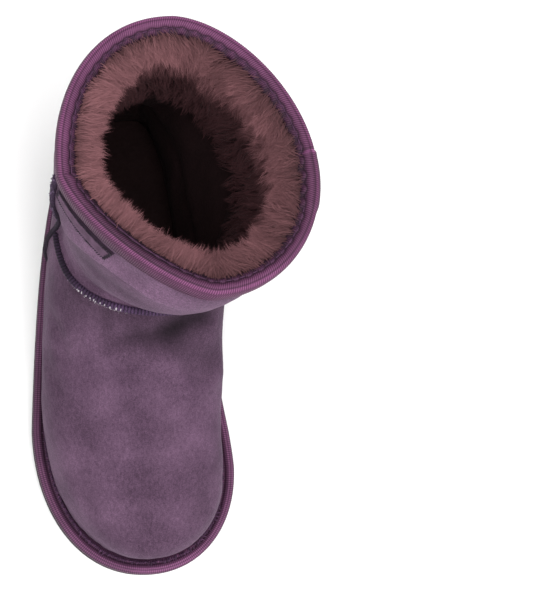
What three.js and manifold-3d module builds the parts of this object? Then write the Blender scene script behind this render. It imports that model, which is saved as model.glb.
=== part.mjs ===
// Slip-on winter boot for the right foot: suede upper, deep pile lining, taped collar and taped welt.
// Millimetres, +Z up, toe towards -Y, inner side of the foot towards +X. Heights start at the floor.
import * as THREE from "three";
import { mergeVertices } from "three/addons/utils/BufferGeometryUtils.js";
import Module from "manifold-3d";

const wasm = await Module();
wasm.setup();

// Last and sole
const LENGTH = 260; // toe tip to heel, over the welt
const OUTER_BALL = 58.5; // half width to the outer side at the ball
const INNER_BALL = 48; // half width to the inner side at the ball
const OUTER_BALL_AT = 80; // distance of the outer ball from the toe tip
const INNER_BALL_AT = 56;
const ARCH_WAIST = 5.5; // how far the waist of the inner side draws in
const TOE_SPRING = 8; // rise of the toe tip
const SPRING_RUN = 78; // length of the curved up toe
const ARCH_LIFT = 1.6; // hollow under the waist
const HEEL_LIFT = 3; // extra sole height under the heel
const SOLE_EDGE = 6; // outsole height at its visible edge
const PLATFORM = 10.5; // height of the sole inside the welt
const SOLE_STEP = 1.2; // the outsole's edge stands this far inside the welt
const SOLE_ROUND = 1.2; // worn round of the outsole's lower edge
const GROOVE_WIDTH = 2.6; // tread
const GROOVE_DEPTH = 2;
const GROOVE_PITCH = 9.5;
const FORE_GROOVES = 7;
const HEEL_GROOVES = 5;
const FORE_TREAD_AT = 42; // first groove behind the toe
const HEEL_TREAD_AT = 196; // first groove of the heel

// Welt
const WELT_TOP = 14.5; // height of its bead
const WELT_BEAD = 5.2; // width of its bead
const WELT_ROUND = 1.6; // rounding of the bead's corners
const FEATHER_INSET = 8; // from the welt's edge to the foot of the upper
const CLEARANCE = 0.3; // gap between pieces that touch

// Upper and shaft
const WALL = 2.8; // suede and its backing
const FLAT_EDGE = 6; // the wall's normal turns level over this height at the foot and the mouth
const SHAFT_HEIGHT = 163;
const ANKLE_HEIGHT = 90; // height of the instep seam at the front
const COLLAR_HALF_WIDTH = 58.7;
const COLLAR_HALF_DEPTH = 65.3;
const COLLAR_CENTRE_AT = 189.4; // from the toe tip
const COLLAR_LEAN = 14; // the mouth stands this far to the inner side
const OUTER_JOINT_AT = 180.5; // widest place of the mouth's outer side, at the side seam
const INNER_JOINT_AT = 186;
const MOUTH_FRONT_SKEW = 9.9; // the mouth's front tip stands this far to the inner side of its middle
const MOUTH_BACK_SKEW = -4.5;

// Lining and insole
const INSOLE_THICKNESS = 4;
const PILE_FOOT = 5.2; // pile depth round the foot
const PILE_SHAFT = 10;
const PILE_COLLAR = 16; // pile depth at the mouth
const LINING_GAP = 0.6;
const LIP_DROP = 4; // the pile starts to swell over the tape's inner leg this far below it
const LIP_BLEND = 20; // height over which it gives way to the tape
const MOUTH_BLEND = 35; // height over which the pile deepens towards the mouth
const LIP_ROUND = 3; // rounding of the lip
const LOCKS = 22; // tufts round the mouth, long and short in turn
const LOCK_LENGTH = 15;
const LOCK_WIDTH = 10;
const LOCK_DROP = 9; // height of the roots below the mouth
const LOCK_ROOT = 0.45; // share of the pile's depth at which a lock is rooted
const LOCK_SIDES = 4;
const SHORT_LOCK = 0.86; // length of a short lock beside a long one

// Collar tape, seams and patch
const TAPE_LEG = 9; // how far the tape comes down
const TAPE_THICKNESS = 1.3;
const TAPE_INNER_LEG = 2.7; // tape over the pressed pile
const TAPE_CROWN = 2;
const TAPE_SWELL = 0.3; // fullness of the tape near its top
const SEAM_HEIGHT = 3.6;
const SEAM_THICKNESS = 2;
const SIDE_SEAM_TOP_AT = 183; // from the toe tip, at the mouth
const SIDE_SEAM_ANKLE_AT = 175;
const SIDE_SEAM_FOOT_AT = 168;
const SIDE_SEAM_ANKLE = 72; // height where the instep seam meets the side seams
const INSTEP_AT = 122; // the instep seam's front, from the toe tip
const PATCH_HEIGHT = 10.5;
const PATCH_LENGTH = 43;
const PATCH_THICKNESS = 1;
const PATCH_DROP = 14.5; // below the mouth
const PATCH_SHOW = 0.73; // share of its length seen from the side, because it lies round the front
const PATCH_STEP = 3.5; // from the side seam

// From the upper's face to the pile inside the tape
const TAPE_INSIDE = WALL + 2 * CLEARANCE + TAPE_INNER_LEG + TAPE_SWELL;

const COLUMNS = 42; // points round every ring

// The upper from foot to mouth. Heights of the foot rows are shares of ANKLE_HEIGHT. front, back and the
// stations are shares of LENGTH from the toe tip, the half widths are shares of the ball's, and centre is
// a share of COLLAR_LEAN.
const FOOT_COLUMNS = [
  "level", "front", "back", "outer", "inner", "outerAt", "innerAt",
  "frontRound", "backRound", "outerTaper", "innerTaper", "arch", "centre",
];
const FOOT_ROWS = [
  [0.12, 0.0308, 0.969, 0.863, 0.836, 0.31, 0.225, 2.2, 3.0, 0.2, 0.11, 0.95, 0],
  [0.2, 0.022, 0.976, 0.893, 0.85, 0.33, 0.205, 2.2, 2.9, 0.19, 0.11, 0.8, 0],
  [0.3, 0.024, 0.98, 0.912, 0.825, 0.37, 0.195, 2.15, 2.8, 0.18, 0.11, 0.6, 0],
  [0.4, 0.04, 0.982, 0.913, 0.805, 0.41, 0.215, 2.1, 2.7, 0.17, 0.11, 0.42, 0],
  [0.48, 0.078, 0.983, 0.9, 0.793, 0.44, 0.28, 2.1, 2.6, 0.16, 0.1, 0.3, 0],
  [0.55, 0.132, 0.983, 0.88, 0.808, 0.48, 0.37, 2.1, 2.5, 0.14, 0.09, 0.2, 0.03],
  [0.62, 0.2, 0.981, 0.858, 0.83, 0.53, 0.45, 2.1, 2.45, 0.11, 0.07, 0.1, 0.08],
  [0.7, 0.284, 0.978, 0.833, 0.842, 0.58, 0.53, 2.1, 2.4, 0.08, 0.05, 0, 0.15],
  [0.78, 0.36, 0.974, 0.81, 0.885, 0.63, 0.6, 2.1, 2.3, 0.05, 0.03, 0, 0.22],
  [0.86, 0.425, 0.971, 0.792, 0.955, 0.67, 0.65, 2.1, 2.25, 0.03, 0.02, 0, 0.28],
  [0.93, 0.469, 0.969, 0.78, 1.035, 0.7, 0.69, 2.1, 2.2, 0.01, 0.01, 0, 0.34],
  [1.0, 0.496, 0.968, 0.772, 1.12, 0.718, 0.718, 2.1, 2.15, 0, 0, 0, 0.4],
];
// The shaft: level is a share of the way from ankle to mouth, front and back are shares of the mouth's half
// depth, half is a share of its half width, centre is a share of COLLAR_LEAN, and twist says how far the
// section has taken the mouth's own egg shape.
const SHAFT_COLUMNS = ["level", "front", "back", "half", "centre", "twist"];
const SHAFT_ROWS = [
  [0.12, 0.965, 0.955, 0.872, 0.42, 0.18],
  [0.26, 1.02, 0.957, 0.895, 0.47, 0.36],
  [0.4, 1.045, 0.962, 0.92, 0.54, 0.55],
  [0.56, 1.047, 0.968, 0.944, 0.63, 0.72],
  [0.72, 1.035, 0.977, 0.963, 0.75, 0.86],
  [0.87, 1.017, 0.988, 0.983, 0.88, 0.95],
  [1.0, 1.0, 1.0, 1.0, 1.0, 1.0],
];
const SHAFT_ROUND = 2.1; // roundness of a plain section: 2 is an ellipse, more is squarer
const MOUTH_ROUND = { frontOuter: 1.44, frontInner: 1.95, backOuter: 2.07, backInner: 1.73 };
// Soft swells (+) and hollows (-) of the shaft: turn in degrees from the heel over the outer side, level and
// rise as shares of SHAFT_HEIGHT, depth as a share of WALL
const SWELLS = [
  { name: "slouch of the outer front", turn: 136, level: 0.736, turnSpread: 30, rise: 0.08, depth: 0.57 },
  { name: "hollow over the heel", turn: 0, level: 0.638, turnSpread: 55, rise: 0.123, depth: -0.36 },
];

// Smooth curve through a column of a table, without overshoot
function curveThrough(levels, values) {
  const last = levels.length - 1;
  const slopes = levels
    .slice(1)
    .map((level, i) => (values[i + 1] - values[i]) / (level - levels[i]));
  const tangents = levels.map((_, i) => {
    if (i === 0) return slopes[0];
    if (i === last) return slopes[last - 1];
    const [a, b] = [slopes[i - 1], slopes[i]];
    return a * b <= 0 ? 0 : (2 * a * b) / (a + b);
  });
  return (level) => {
    const at = THREE.MathUtils.clamp(level, levels[0], levels[last]);
    let i = 0;
    while (i < last - 1 && at > levels[i + 1]) i += 1;
    const span = levels[i + 1] - levels[i];
    const s = (at - levels[i]) / span;
    const [s2, s3] = [s * s, s * s * s];
    return (
      (2 * s3 - 3 * s2 + 1) * values[i] +
      (s3 - 2 * s2 + s) * span * tangents[i] +
      (3 * s2 - 2 * s3) * values[i + 1] +
      (s3 - s2) * span * tangents[i + 1]
    );
  };
}

const named = (columns, row) => Object.fromEntries(columns.map((name, i) => [name, row[i]]));

// A section's measures in millimetres, with half widths taken from its own centre
function footSection(row) {
  const r = named(FOOT_COLUMNS, row);
  const centre = r.centre * COLLAR_LEAN;
  return {
    level: r.level * ANKLE_HEIGHT,
    front: r.front * LENGTH, back: r.back * LENGTH,
    outer: r.outer * OUTER_BALL + centre, inner: r.inner * INNER_BALL - centre,
    outerAt: r.outerAt * LENGTH, innerAt: r.innerAt * LENGTH,
    frontOuterRound: r.frontRound, frontInnerRound: r.frontRound,
    backOuterRound: r.backRound, backInnerRound: r.backRound,
    outerTaper: r.outerTaper, innerTaper: r.innerTaper, arch: r.arch * ARCH_WAIST,
    centre, frontSkew: 0, backSkew: 0,
  };
}

function shaftSection(row) {
  const r = named(SHAFT_COLUMNS, row);
  const towards = (plain, mouth) => THREE.MathUtils.lerp(plain, mouth, r.twist);
  const plainAt = COLLAR_CENTRE_AT - 0.04 * COLLAR_HALF_DEPTH;
  return {
    level: ANKLE_HEIGHT + r.level * (SHAFT_HEIGHT - ANKLE_HEIGHT),
    front: COLLAR_CENTRE_AT - r.front * COLLAR_HALF_DEPTH,
    back: COLLAR_CENTRE_AT + r.back * COLLAR_HALF_DEPTH,
    outer: r.half * COLLAR_HALF_WIDTH, inner: r.half * COLLAR_HALF_WIDTH,
    outerAt: towards(plainAt, OUTER_JOINT_AT), innerAt: towards(plainAt, INNER_JOINT_AT),
    frontOuterRound: towards(SHAFT_ROUND, MOUTH_ROUND.frontOuter),
    frontInnerRound: towards(SHAFT_ROUND, MOUTH_ROUND.frontInner),
    backOuterRound: towards(SHAFT_ROUND, MOUTH_ROUND.backOuter),
    backInnerRound: towards(SHAFT_ROUND, MOUTH_ROUND.backInner),
    outerTaper: 0, innerTaper: 0, arch: 0,
    centre: r.centre * COLLAR_LEAN,
    frontSkew: r.twist * MOUTH_FRONT_SKEW, backSkew: r.twist * MOUTH_BACK_SKEW,
  };
}

const SECTIONS = [...FOOT_ROWS.map(footSection), ...SHAFT_ROWS.map(shaftSection)];
const MEASURES = Object.keys(SECTIONS[0]).filter((name) => name !== "level");
const FOOT_LEVEL = SECTIONS[0].level;
const CURVES = MEASURES.map((name) =>
  curveThrough(SECTIONS.map((s) => s.level), SECTIONS.map((s) => s[name])),
);

function sectionAt(level) {
  return Object.fromEntries(MEASURES.map((name, i) => [name, CURVES[i](level)]));
}

// The sole's own outline, measured over the welt
const SOLE_SECTION = {
  front: 0, back: LENGTH, outer: OUTER_BALL, inner: INNER_BALL,
  outerAt: OUTER_BALL_AT, innerAt: INNER_BALL_AT,
  frontOuterRound: 2.15, frontInnerRound: 2.1, backOuterRound: 3.1, backInnerRound: 3.1,
  outerTaper: 0.22, innerTaper: 0.12, arch: ARCH_WAIST, centre: 0, frontSkew: 0, backSkew: 0,
};
const ARCH_AT = 0.38; // share of the way from the inner ball to the heel
const ARCH_RUN = 0.2;
const ARCH_START = 0.16;

// Point of a closed outline. turn 0 is the heel, a quarter is the outer side, a half is the toe.
function outlinePoint(section, turn) {
  const angle = turn * 2 * Math.PI;
  const [along, across] = [Math.cos(angle), Math.sin(angle)];
  const [end, side] = [along >= 0 ? "back" : "front", across >= 0 ? "outer" : "inner"];
  const rear = end === "back";
  const outerSide = side === "outer";
  const round = section[end + (outerSide ? "OuterRound" : "InnerRound")];
  const reach = Math.abs(along) ** (2 / round);
  const spread = Math.abs(across) ** (2 / round);
  const station = section[side + "At"];
  const taper = rear ? section[side + "Taper"] : 0;
  const y = station + (section[end] - station) * reach;
  let half = section[side] * (1 - taper * reach) * spread;
  if (rear && !outerSide) {
    half -= section.arch * smooth(0, ARCH_START, reach) * Math.exp(-(((reach - ARCH_AT) / ARCH_RUN) ** 2) / 2);
  }
  const middle = section.centre + section[end + "Skew"] * reach;
  return new THREE.Vector2(middle + (outerSide ? -half : half), y);
}

// Outward direction of an outline at a turn
function outlineNormal(point, turn) {
  const step = 0.002;
  const along = point(turn + step).sub(point(turn - step));
  return new THREE.Vector2(along.y, -along.x).normalize();
}

function insetOutline(section, inset) {
  const point = (turn) => outlinePoint(section, turn);
  return (turn) => point(turn).addScaledVector(outlineNormal(point, turn), -inset);
}

const smooth = (low, high, value) => THREE.MathUtils.smoothstep(value, low, high);

// How far the sole's underside and everything on it is raised at a distance from the toe
function springAt(y) {
  const share = Math.max(0, (SPRING_RUN - y) / SPRING_RUN);
  return TOE_SPRING * share ** 2;
}

function deckAt(y) {
  return springAt(y) + HEEL_LIFT * smooth(0.4 * LENGTH, 0.68 * LENGTH, y);
}

function undersideAt(y) {
  const waist = smooth(0.44 * LENGTH, 0.54 * LENGTH, y) * (1 - smooth(0.6 * LENGTH, 0.7 * LENGTH, y));
  return springAt(y) + ARCH_LIFT * waist;
}

const swellAt = (turn, height) =>
  SWELLS.reduce((sum, swell) => {
    const away = Math.abs(((turn * 360 - swell.turn + 540) % 360) - 180);
    const up = (height / SHAFT_HEIGHT - swell.level) / swell.rise;
    return sum + swell.depth * WALL * Math.exp(-((away / swell.turnSpread) ** 2) - up * up);
  }, 0);

// Outer face of the upper before any growth
function upperFace(turn, level) {
  const section = sectionAt(level);
  const flat = outlinePoint(section, turn);
  const normal = outlineNormal((t) => outlinePoint(section, t), turn);
  flat.addScaledVector(normal, swellAt(turn, level));
  const settle = 1 - smooth(FOOT_LEVEL, ANKLE_HEIGHT, level);
  return new THREE.Vector3(flat.x, flat.y, level + deckAt(flat.y) * settle);
}

// The upper's face grown outwards (+) or inwards (-), flat at the foot and at the mouth
function grownFace(turn, level, growth) {
  const [dTurn, dLevel] = [0.002, 0.6];
  const low = Math.max(FOOT_LEVEL, level - dLevel);
  const high = Math.min(SHAFT_HEIGHT, level + dLevel);
  const along = upperFace(turn + dTurn, level).sub(upperFace(turn - dTurn, level));
  const rise = upperFace(turn, high).sub(upperFace(turn, low));
  const normal = along.cross(rise).normalize();
  const edge = Math.min(level - FOOT_LEVEL, SHAFT_HEIGHT - level);
  if (edge < FLAT_EDGE) {
    normal.z *= edge / FLAT_EDGE;
    normal.normalize();
  }
  return upperFace(turn, level).addScaledVector(normal, growth);
}

// Rings of points joined into one closed surface: rows of faces across the width close both ends,
// unless the rings are looped and close on themselves.
function loft(rings, looped = false) {
  const count = rings[0].length;
  const points = rings.flat();
  const faces = [];
  const bands = looped ? rings.length : rings.length - 1;
  for (let r = 0; r < bands; r += 1) {
    const next = (r + 1) % rings.length;
    for (let i = 0; i < count; i += 1) {
      const j = (i + 1) % count;
      const [a, b, c, d] = [r * count + i, r * count + j, next * count + j, next * count + i];
      faces.push(a, b, c, a, c, d);
    }
  }
  if (!looped) {
    const top = (rings.length - 1) * count;
    for (let i = 0; i < count / 2; i += 1) {
      const [a, b] = [i, i + 1];
      const [c, d] = [(count - b) % count, (count - a) % count];
      if (a !== d) faces.push(d, b, a, top + a, top + b, top + d);
      if (b !== c) faces.push(d, c, b, top + b, top + c, top + d);
    }
  }
  const geometry = new THREE.BufferGeometry().setFromPoints(points);
  return geometry.setIndex(faces);
}

const ringOf = (pointAt) =>
  Array.from({ length: COLUMNS }, (_, i) => pointAt(i / COLUMNS));

function solidOf(geometry) {
  const bare = geometry.clone();
  bare.deleteAttribute("normal");
  bare.deleteAttribute("uv");
  const merged = mergeVertices(bare, 1e-4);
  return new wasm.Manifold(
    new wasm.Mesh({
      numProp: 3,
      vertProperties: new Float32Array(merged.attributes.position.array),
      triVerts: new Uint32Array(merged.index.array),
    }),
  );
}

function geometryOf(solid) {
  const mesh = solid.getMesh();
  const geometry = new THREE.BufferGeometry();
  geometry.setAttribute("position", new THREE.BufferAttribute(mesh.vertProperties, 3));
  geometry.setIndex(new THREE.BufferAttribute(mesh.triVerts, 1));
  geometry.computeVertexNormals();
  return geometry;
}

// A side view outline, (distance from toe, height), pushed through along X between two stations
function sideSlab(outline, from, to) {
  const shape = new THREE.Shape(outline.map(([y, z]) => new THREE.Vector2(y, z)));
  const slab = new THREE.ExtrudeGeometry(shape, { depth: to - from, bevelEnabled: false });
  const turn = new THREE.Matrix4().makeBasis(
    new THREE.Vector3(0, 1, 0), new THREE.Vector3(0, 0, 1), new THREE.Vector3(1, 0, 0),
  );
  slab.applyMatrix4(turn).translate(from, 0, 0);
  return slab;
}

// A strip of even thickness either side of a line in the side view
function ribbonOutline(line, thickness) {
  const curve = new THREE.SplineCurve(line.map(([y, z]) => new THREE.Vector2(y, z)));
  const steps = 12;
  const sides = [[], []];
  for (let i = 0; i <= steps; i += 1) {
    const point = curve.getPoint(i / steps);
    const along = curve.getTangent(i / steps);
    const across = new THREE.Vector2(-along.y, along.x);
    sides[0].push(point.clone().addScaledVector(across, thickness / 2).toArray());
    sides[1].push(point.clone().addScaledVector(across, -thickness / 2).toArray());
  }
  return [...sides[0].reverse(), ...sides[1]];
}

// Outsole: edge, platform inside the welt, and tread
function makeOutsole() {
  const edge = insetOutline(SOLE_SECTION, SOLE_STEP);
  const foot = insetOutline(SOLE_SECTION, SOLE_STEP + SOLE_ROUND);
  const inner = insetOutline(SOLE_SECTION, FEATHER_INSET + WALL + CLEARANCE);
  const at = (outline, heightAt) => (turn) => {
    const p = outline(turn);
    return new THREE.Vector3(p.x, p.y, heightAt(p.y));
  };
  const body = solidOf(
    loft([
      ringOf(at(foot, undersideAt)),
      ringOf(at(edge, (y) => undersideAt(y) + SOLE_ROUND)),
      ringOf(at(edge, (y) => SOLE_EDGE + deckAt(y))),
      ringOf(at(inner, (y) => SOLE_EDGE + deckAt(y))),
      ringOf(at(inner, (y) => PLATFORM + deckAt(y))),
    ]),
  );
  const starts = [
    ...Array.from({ length: FORE_GROOVES }, (_, i) => FORE_TREAD_AT + i * GROOVE_PITCH),
    ...Array.from({ length: HEEL_GROOVES }, (_, i) => HEEL_TREAD_AT + i * GROOVE_PITCH),
  ];
  return starts.reduce((sole, y) => {
    const top = undersideAt(y + GROOVE_WIDTH / 2) + GROOVE_DEPTH;
    const outline = [[y, -1], [y + GROOVE_WIDTH, -1], [y + GROOVE_WIDTH, top], [y, top]];
    return sole.subtract(solidOf(sideSlab(outline, -2 * OUTER_BALL, 2 * INNER_BALL)));
  }, body);
}

// Welt: a taped bead with a stitched groove inside it
function makeWelt() {
  const foot = SOLE_EDGE + CLEARANCE;
  // Inset from the welt's edge, height
  const section = [
    [0.6 * WELT_ROUND, foot],
    [0, foot + 0.8 * WELT_ROUND],
    [0, WELT_TOP - WELT_ROUND],
    [0.6 * WELT_ROUND, WELT_TOP - 0.25 * WELT_ROUND],
    [WELT_BEAD / 2, WELT_TOP],
    [WELT_BEAD - 0.5 * WELT_ROUND, WELT_TOP - 0.4 * WELT_ROUND],
    [WELT_BEAD, WELT_TOP - 1.1 * WELT_ROUND],
    [1.04 * WELT_BEAD, PLATFORM],
    [FEATHER_INSET + WALL, PLATFORM],
    [FEATHER_INSET + WALL, foot],
  ];
  const rings = section.map(([inset, height]) => {
    const outline = insetOutline(SOLE_SECTION, inset);
    return ringOf((turn) => {
      const p = outline(turn);
      return new THREE.Vector3(p.x, p.y, height + deckAt(p.y));
    });
  });
  return solidOf(loft(rings, true));
}

// Levels of the rings: the foot's are close together where the top of the foot slopes
const FOOT_LEVELS = [0.12, 0.19, 0.28, 0.38, 0.46, 0.53, 0.6, 0.67, 0.74, 0.81, 0.87, 0.93, 0.98];
const SHAFT_LEVELS = [0.07, 0.21, 0.36, 0.53, 0.71];
const TAPE_FOOT = SHAFT_HEIGHT - TAPE_LEG;
const RING_LEVELS = [
  ...FOOT_LEVELS.map((share) => share * ANKLE_HEIGHT),
  ...SHAFT_LEVELS.map((share) => ANKLE_HEIGHT + share * (SHAFT_HEIGHT - ANKLE_HEIGHT)),
  TAPE_FOOT,
  SHAFT_HEIGHT,
];

const faceRings = (growth) =>
  RING_LEVELS.map((level) => ringOf((turn) => grownFace(turn, level, growth)));

// Upper: one hollow wall, open at the mouth and underneath
function makeUpper() {
  return solidOf(loft([...faceRings(0), ...faceRings(-WALL).reverse()], true));
}

// The upper's whole form, filled, grown by an amount
const grownForm = (growth) => solidOf(loft(faceRings(growth)));

function makeInsole() {
  const outline = insetOutline(SOLE_SECTION, FEATHER_INSET + WALL + 2 * CLEARANCE);
  const rings = [PLATFORM + CLEARANCE, PLATFORM + CLEARANCE + INSOLE_THICKNESS].map((height) =>
    ringOf((turn) => {
      const p = outline(turn);
      return new THREE.Vector3(p.x, p.y, height + deckAt(p.y));
    }),
  );
  return solidOf(loft(rings));
}

// Collar tape: an upside down U over the upper's top edge
function makeCollarTape() {
  const inside = -WALL - CLEARANCE;
  const pressed = inside - TAPE_INNER_LEG;
  const shoulder = -0.17 * TAPE_LEG;
  // Growth over the upper's face, rise over its top
  const section = [
    [CLEARANCE, -TAPE_LEG],
    [CLEARANCE + TAPE_THICKNESS, -TAPE_LEG],
    [CLEARANCE + TAPE_THICKNESS + TAPE_SWELL, shoulder],
    [CLEARANCE, 0.65 * TAPE_CROWN],
    [-WALL, TAPE_CROWN],
    [pressed + 2 * TAPE_SWELL, 0.6 * TAPE_CROWN],
    [pressed - TAPE_SWELL, shoulder],
    [pressed + TAPE_SWELL, -TAPE_LEG],
    [inside, -TAPE_LEG],
    [inside, CLEARANCE],
    [CLEARANCE, CLEARANCE],
  ];
  const rings = section.map(([growth, rise]) =>
    ringOf((turn) => {
      const point = grownFace(turn, SHAFT_HEIGHT + Math.min(0, rise), growth);
      if (rise > 0) point.z = SHAFT_HEIGHT + rise;
      return point;
    }),
  );
  return solidOf(loft(rings, true));
}

// Lining: pile against the inside of the upper, thick at the mouth, with tufts round it
function makeLining() {
  const floor = PLATFORM + 2 * CLEARANCE + INSOLE_THICKNESS;
  const lip = TAPE_FOOT - LIP_DROP;
  const crown = SHAFT_HEIGHT - LIP_ROUND;
  const levels = RING_LEVELS.filter((level) => level > floor + LINING_GAP && level < lip);
  const outerInset = (level) => {
    const taped = smooth(lip - LIP_BLEND, lip, level);
    return WALL + LINING_GAP + (TAPE_INSIDE - WALL - LINING_GAP) * taped;
  };
  const pile = (level) => {
    const shaft = smooth(0.5 * ANKLE_HEIGHT, 1.1 * ANKLE_HEIGHT, level);
    const mouth = smooth(lip - MOUTH_BLEND, lip, level);
    return PILE_FOOT + (PILE_SHAFT - PILE_FOOT) * shaft + (PILE_COLLAR - PILE_SHAFT) * mouth;
  };
  const at = (level, inset) => ringOf((turn) => grownFace(turn, level, -inset));
  const levelRing = (level, inset) => at(level, inset).map((p) => p.setZ(level));
  const floorRing = (inset) => at(floor, inset).map((p) => p.setZ(floor + deckAt(p.y)));
  const outer = [
    floorRing(WALL + LINING_GAP),
    ...levels.map((level) => at(level, outerInset(level))),
    levelRing(lip, TAPE_INSIDE),
    levelRing(crown, TAPE_INSIDE),
    levelRing(SHAFT_HEIGHT, TAPE_INSIDE + LIP_ROUND),
  ];
  // Every second ring is enough for the soft inner face
  const inner = [
    floorRing(WALL + LINING_GAP + PILE_FOOT),
    ...levels.filter((_, i) => i % 2 === 1).map((level) => at(level, outerInset(level) + pile(level))),
    levelRing(lip, TAPE_INSIDE + PILE_COLLAR),
    levelRing(crown, TAPE_INSIDE + 0.9 * PILE_COLLAR),
    levelRing(SHAFT_HEIGHT, TAPE_INSIDE + 0.6 * PILE_COLLAR),
  ];
  const sleeve = solidOf(loft([...outer, ...inner.reverse()], true));
  return Array.from({ length: LOCKS }, (_, i) => makeLock(i)).reduce(
    (lining, lock) => lining.add(lock),
    sleeve,
  );
}

// Stations of a lock: out, and drop below the mouth, are shares of its length, width and depth are shares
// of LOCK_WIDTH
const LOCK_STATIONS = [
  { out: 0, drop: 0.433, width: 0.8, depth: 0.6 },
  { out: 0.5, drop: 0.333, width: 1, depth: 0.62 },
  { out: 0.85, drop: 0.5, width: 0.55, depth: 0.4 },
  { out: 1, drop: 0.667, width: 0.12, depth: 0.1 },
];
const LOCK_SWAY = [0.16, -0.12]; // sideways lean of the long and the short locks, in widths

// One tuft of the pile, rooted in the lip and bending in over the mouth
function makeLock(index) {
  const turn = (index + 0.5) / LOCKS;
  const short = index % 2;
  const root = grownFace(turn, SHAFT_HEIGHT - LOCK_DROP, -TAPE_INSIDE - LOCK_ROOT * PILE_COLLAR);
  const face = grownFace(turn, SHAFT_HEIGHT - LOCK_DROP, -TAPE_INSIDE - PILE_COLLAR);
  const inward = face.sub(root).setZ(0).normalize();
  const across = new THREE.Vector3(-inward.y, inward.x, 0);
  const reach = LOCK_LENGTH * (short ? SHORT_LOCK : 1);
  const rings = LOCK_STATIONS.map(({ out, drop, width, depth }) => {
    const centre = root.clone().addScaledVector(inward, out * reach);
    centre.addScaledVector(across, LOCK_SWAY[short] * LOCK_WIDTH * out);
    centre.setZ(SHAFT_HEIGHT - drop * LOCK_LENGTH);
    return Array.from({ length: LOCK_SIDES }, (_, k) => {
      const angle = (k / LOCK_SIDES) * 2 * Math.PI;
      const rise = (Math.sin(angle) * depth * LOCK_WIDTH) / 2;
      const side = (Math.cos(angle) * width * LOCK_WIDTH) / 2;
      return centre.clone().addScaledVector(across, side).add(new THREE.Vector3(0, 0, rise));
    });
  });
  return solidOf(loft(rings));
}

// Raised seams are cut from the shell between two grown forms of the upper
function makeSeams(shell) {
  const centre = COLLAR_LEAN / 2;
  const far = 2 * OUTER_BALL;
  const top = SHAFT_HEIGHT - TAPE_LEG - TAPE_THICKNESS;
  const foot = WELT_TOP + HEEL_LIFT + 2 * CLEARANCE;
  const spare = SEAM_HEIGHT; // the strips run on past both ends and are trimmed level
  const sideLine = [
    [SIDE_SEAM_TOP_AT, top + spare],
    [(SIDE_SEAM_TOP_AT + SIDE_SEAM_ANKLE_AT) / 2, (top + SIDE_SEAM_ANKLE) / 2],
    [SIDE_SEAM_ANKLE_AT, SIDE_SEAM_ANKLE],
    [SIDE_SEAM_FOOT_AT, foot - spare],
  ];
  const sideStrip = ribbonOutline(sideLine, SEAM_THICKNESS);
  const band = solidOf(sideSlab([[0, foot], [LENGTH, foot], [LENGTH, top], [0, top]], -far, far));
  const cut = (from, to) => shell.intersect(solidOf(sideSlab(sideStrip, from, to))).intersect(band);
  const join = SIDE_SEAM_ANKLE_AT - SEAM_THICKNESS / 2 - CLEARANCE;
  const run = join - INSTEP_AT;
  const fall = ANKLE_HEIGHT - SIDE_SEAM_ANKLE;
  const instepLine = [
    [INSTEP_AT - 0.4 * run, ANKLE_HEIGHT + 0.06 * fall],
    [INSTEP_AT, ANKLE_HEIGHT + 0.05 * fall],
    [INSTEP_AT + 0.25 * run, ANKLE_HEIGHT - 0.25 * fall],
    [INSTEP_AT + 0.6 * run, ANKLE_HEIGHT - 0.7 * fall],
    [join, SIDE_SEAM_ANKLE],
  ];
  const instepStrip = ribbonOutline(instepLine, SEAM_THICKNESS);
  return {
    outer: cut(-far, centre),
    inner: cut(centre, far),
    instep: shell.intersect(solidOf(sideSlab(instepStrip, -far, far))),
  };
}

// Plain woven patch under the tape on the outer front of the shaft
function makePatch() {
  const skin = grownForm(CLEARANCE + PATCH_THICKNESS).subtract(grownForm(CLEARANCE));
  const top = SHAFT_HEIGHT - PATCH_DROP;
  const back = SIDE_SEAM_TOP_AT - SEAM_THICKNESS - PATCH_STEP;
  const front = back - PATCH_SHOW * PATCH_LENGTH;
  const foot = top - PATCH_HEIGHT;
  const outline = [[back, foot], [back, top], [front, top], [front, foot]];
  return skin.intersect(solidOf(sideSlab(outline, -2 * OUTER_BALL, COLLAR_LEAN)));
}

const FINISHES = {
  suede: { color: 0x6a5165, roughness: 0.95, metalness: 0 },
  tape: { color: 0x74497a, roughness: 0.7, metalness: 0 },
  pile: { color: 0x7a5156, roughness: 1, metalness: 0 },
  thread: { color: 0x3f2d4a, roughness: 0.8, metalness: 0 },
  rubber: { color: 0x2b2a2d, roughness: 0.85, metalness: 0 },
  patch: { color: 0x54485a, roughness: 0.8, metalness: 0 },
};

function piece(name, solid, finish) {
  const mesh = new THREE.Mesh(geometryOf(solid), new THREE.MeshStandardMaterial(FINISHES[finish]));
  mesh.name = name;
  return mesh;
}

function makeBoot() {
  const shell = grownForm(SEAM_HEIGHT).subtract(grownForm(CLEARANCE));
  const seams = makeSeams(shell);
  const sole = new THREE.Group();
  sole.add(
    piece("outsole", makeOutsole(), "rubber"),
    piece("welt", makeWelt(), "tape"),
    piece("insole", makeInsole(), "pile"),
  );
  const shaft = new THREE.Group();
  shaft.add(
    piece("upper", makeUpper(), "suede"),
    piece("lining", makeLining(), "pile"),
    piece("collar_tape", makeCollarTape(), "tape"),
    piece("seam_outer", seams.outer, "thread"),
    piece("seam_inner", seams.inner, "thread"),
    piece("seam_instep", seams.instep, "thread"),
    piece("patch", makePatch(), "patch"),
  );
  const boot = new THREE.Group();
  boot.add(sole, shaft);
  const bounds = new THREE.Box3().setFromObject(boot);
  const middle = bounds.getCenter(new THREE.Vector3());
  boot.position.set(-middle.x, -middle.y, -bounds.min.z);
  return boot;
}

export default makeBoot();
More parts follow.
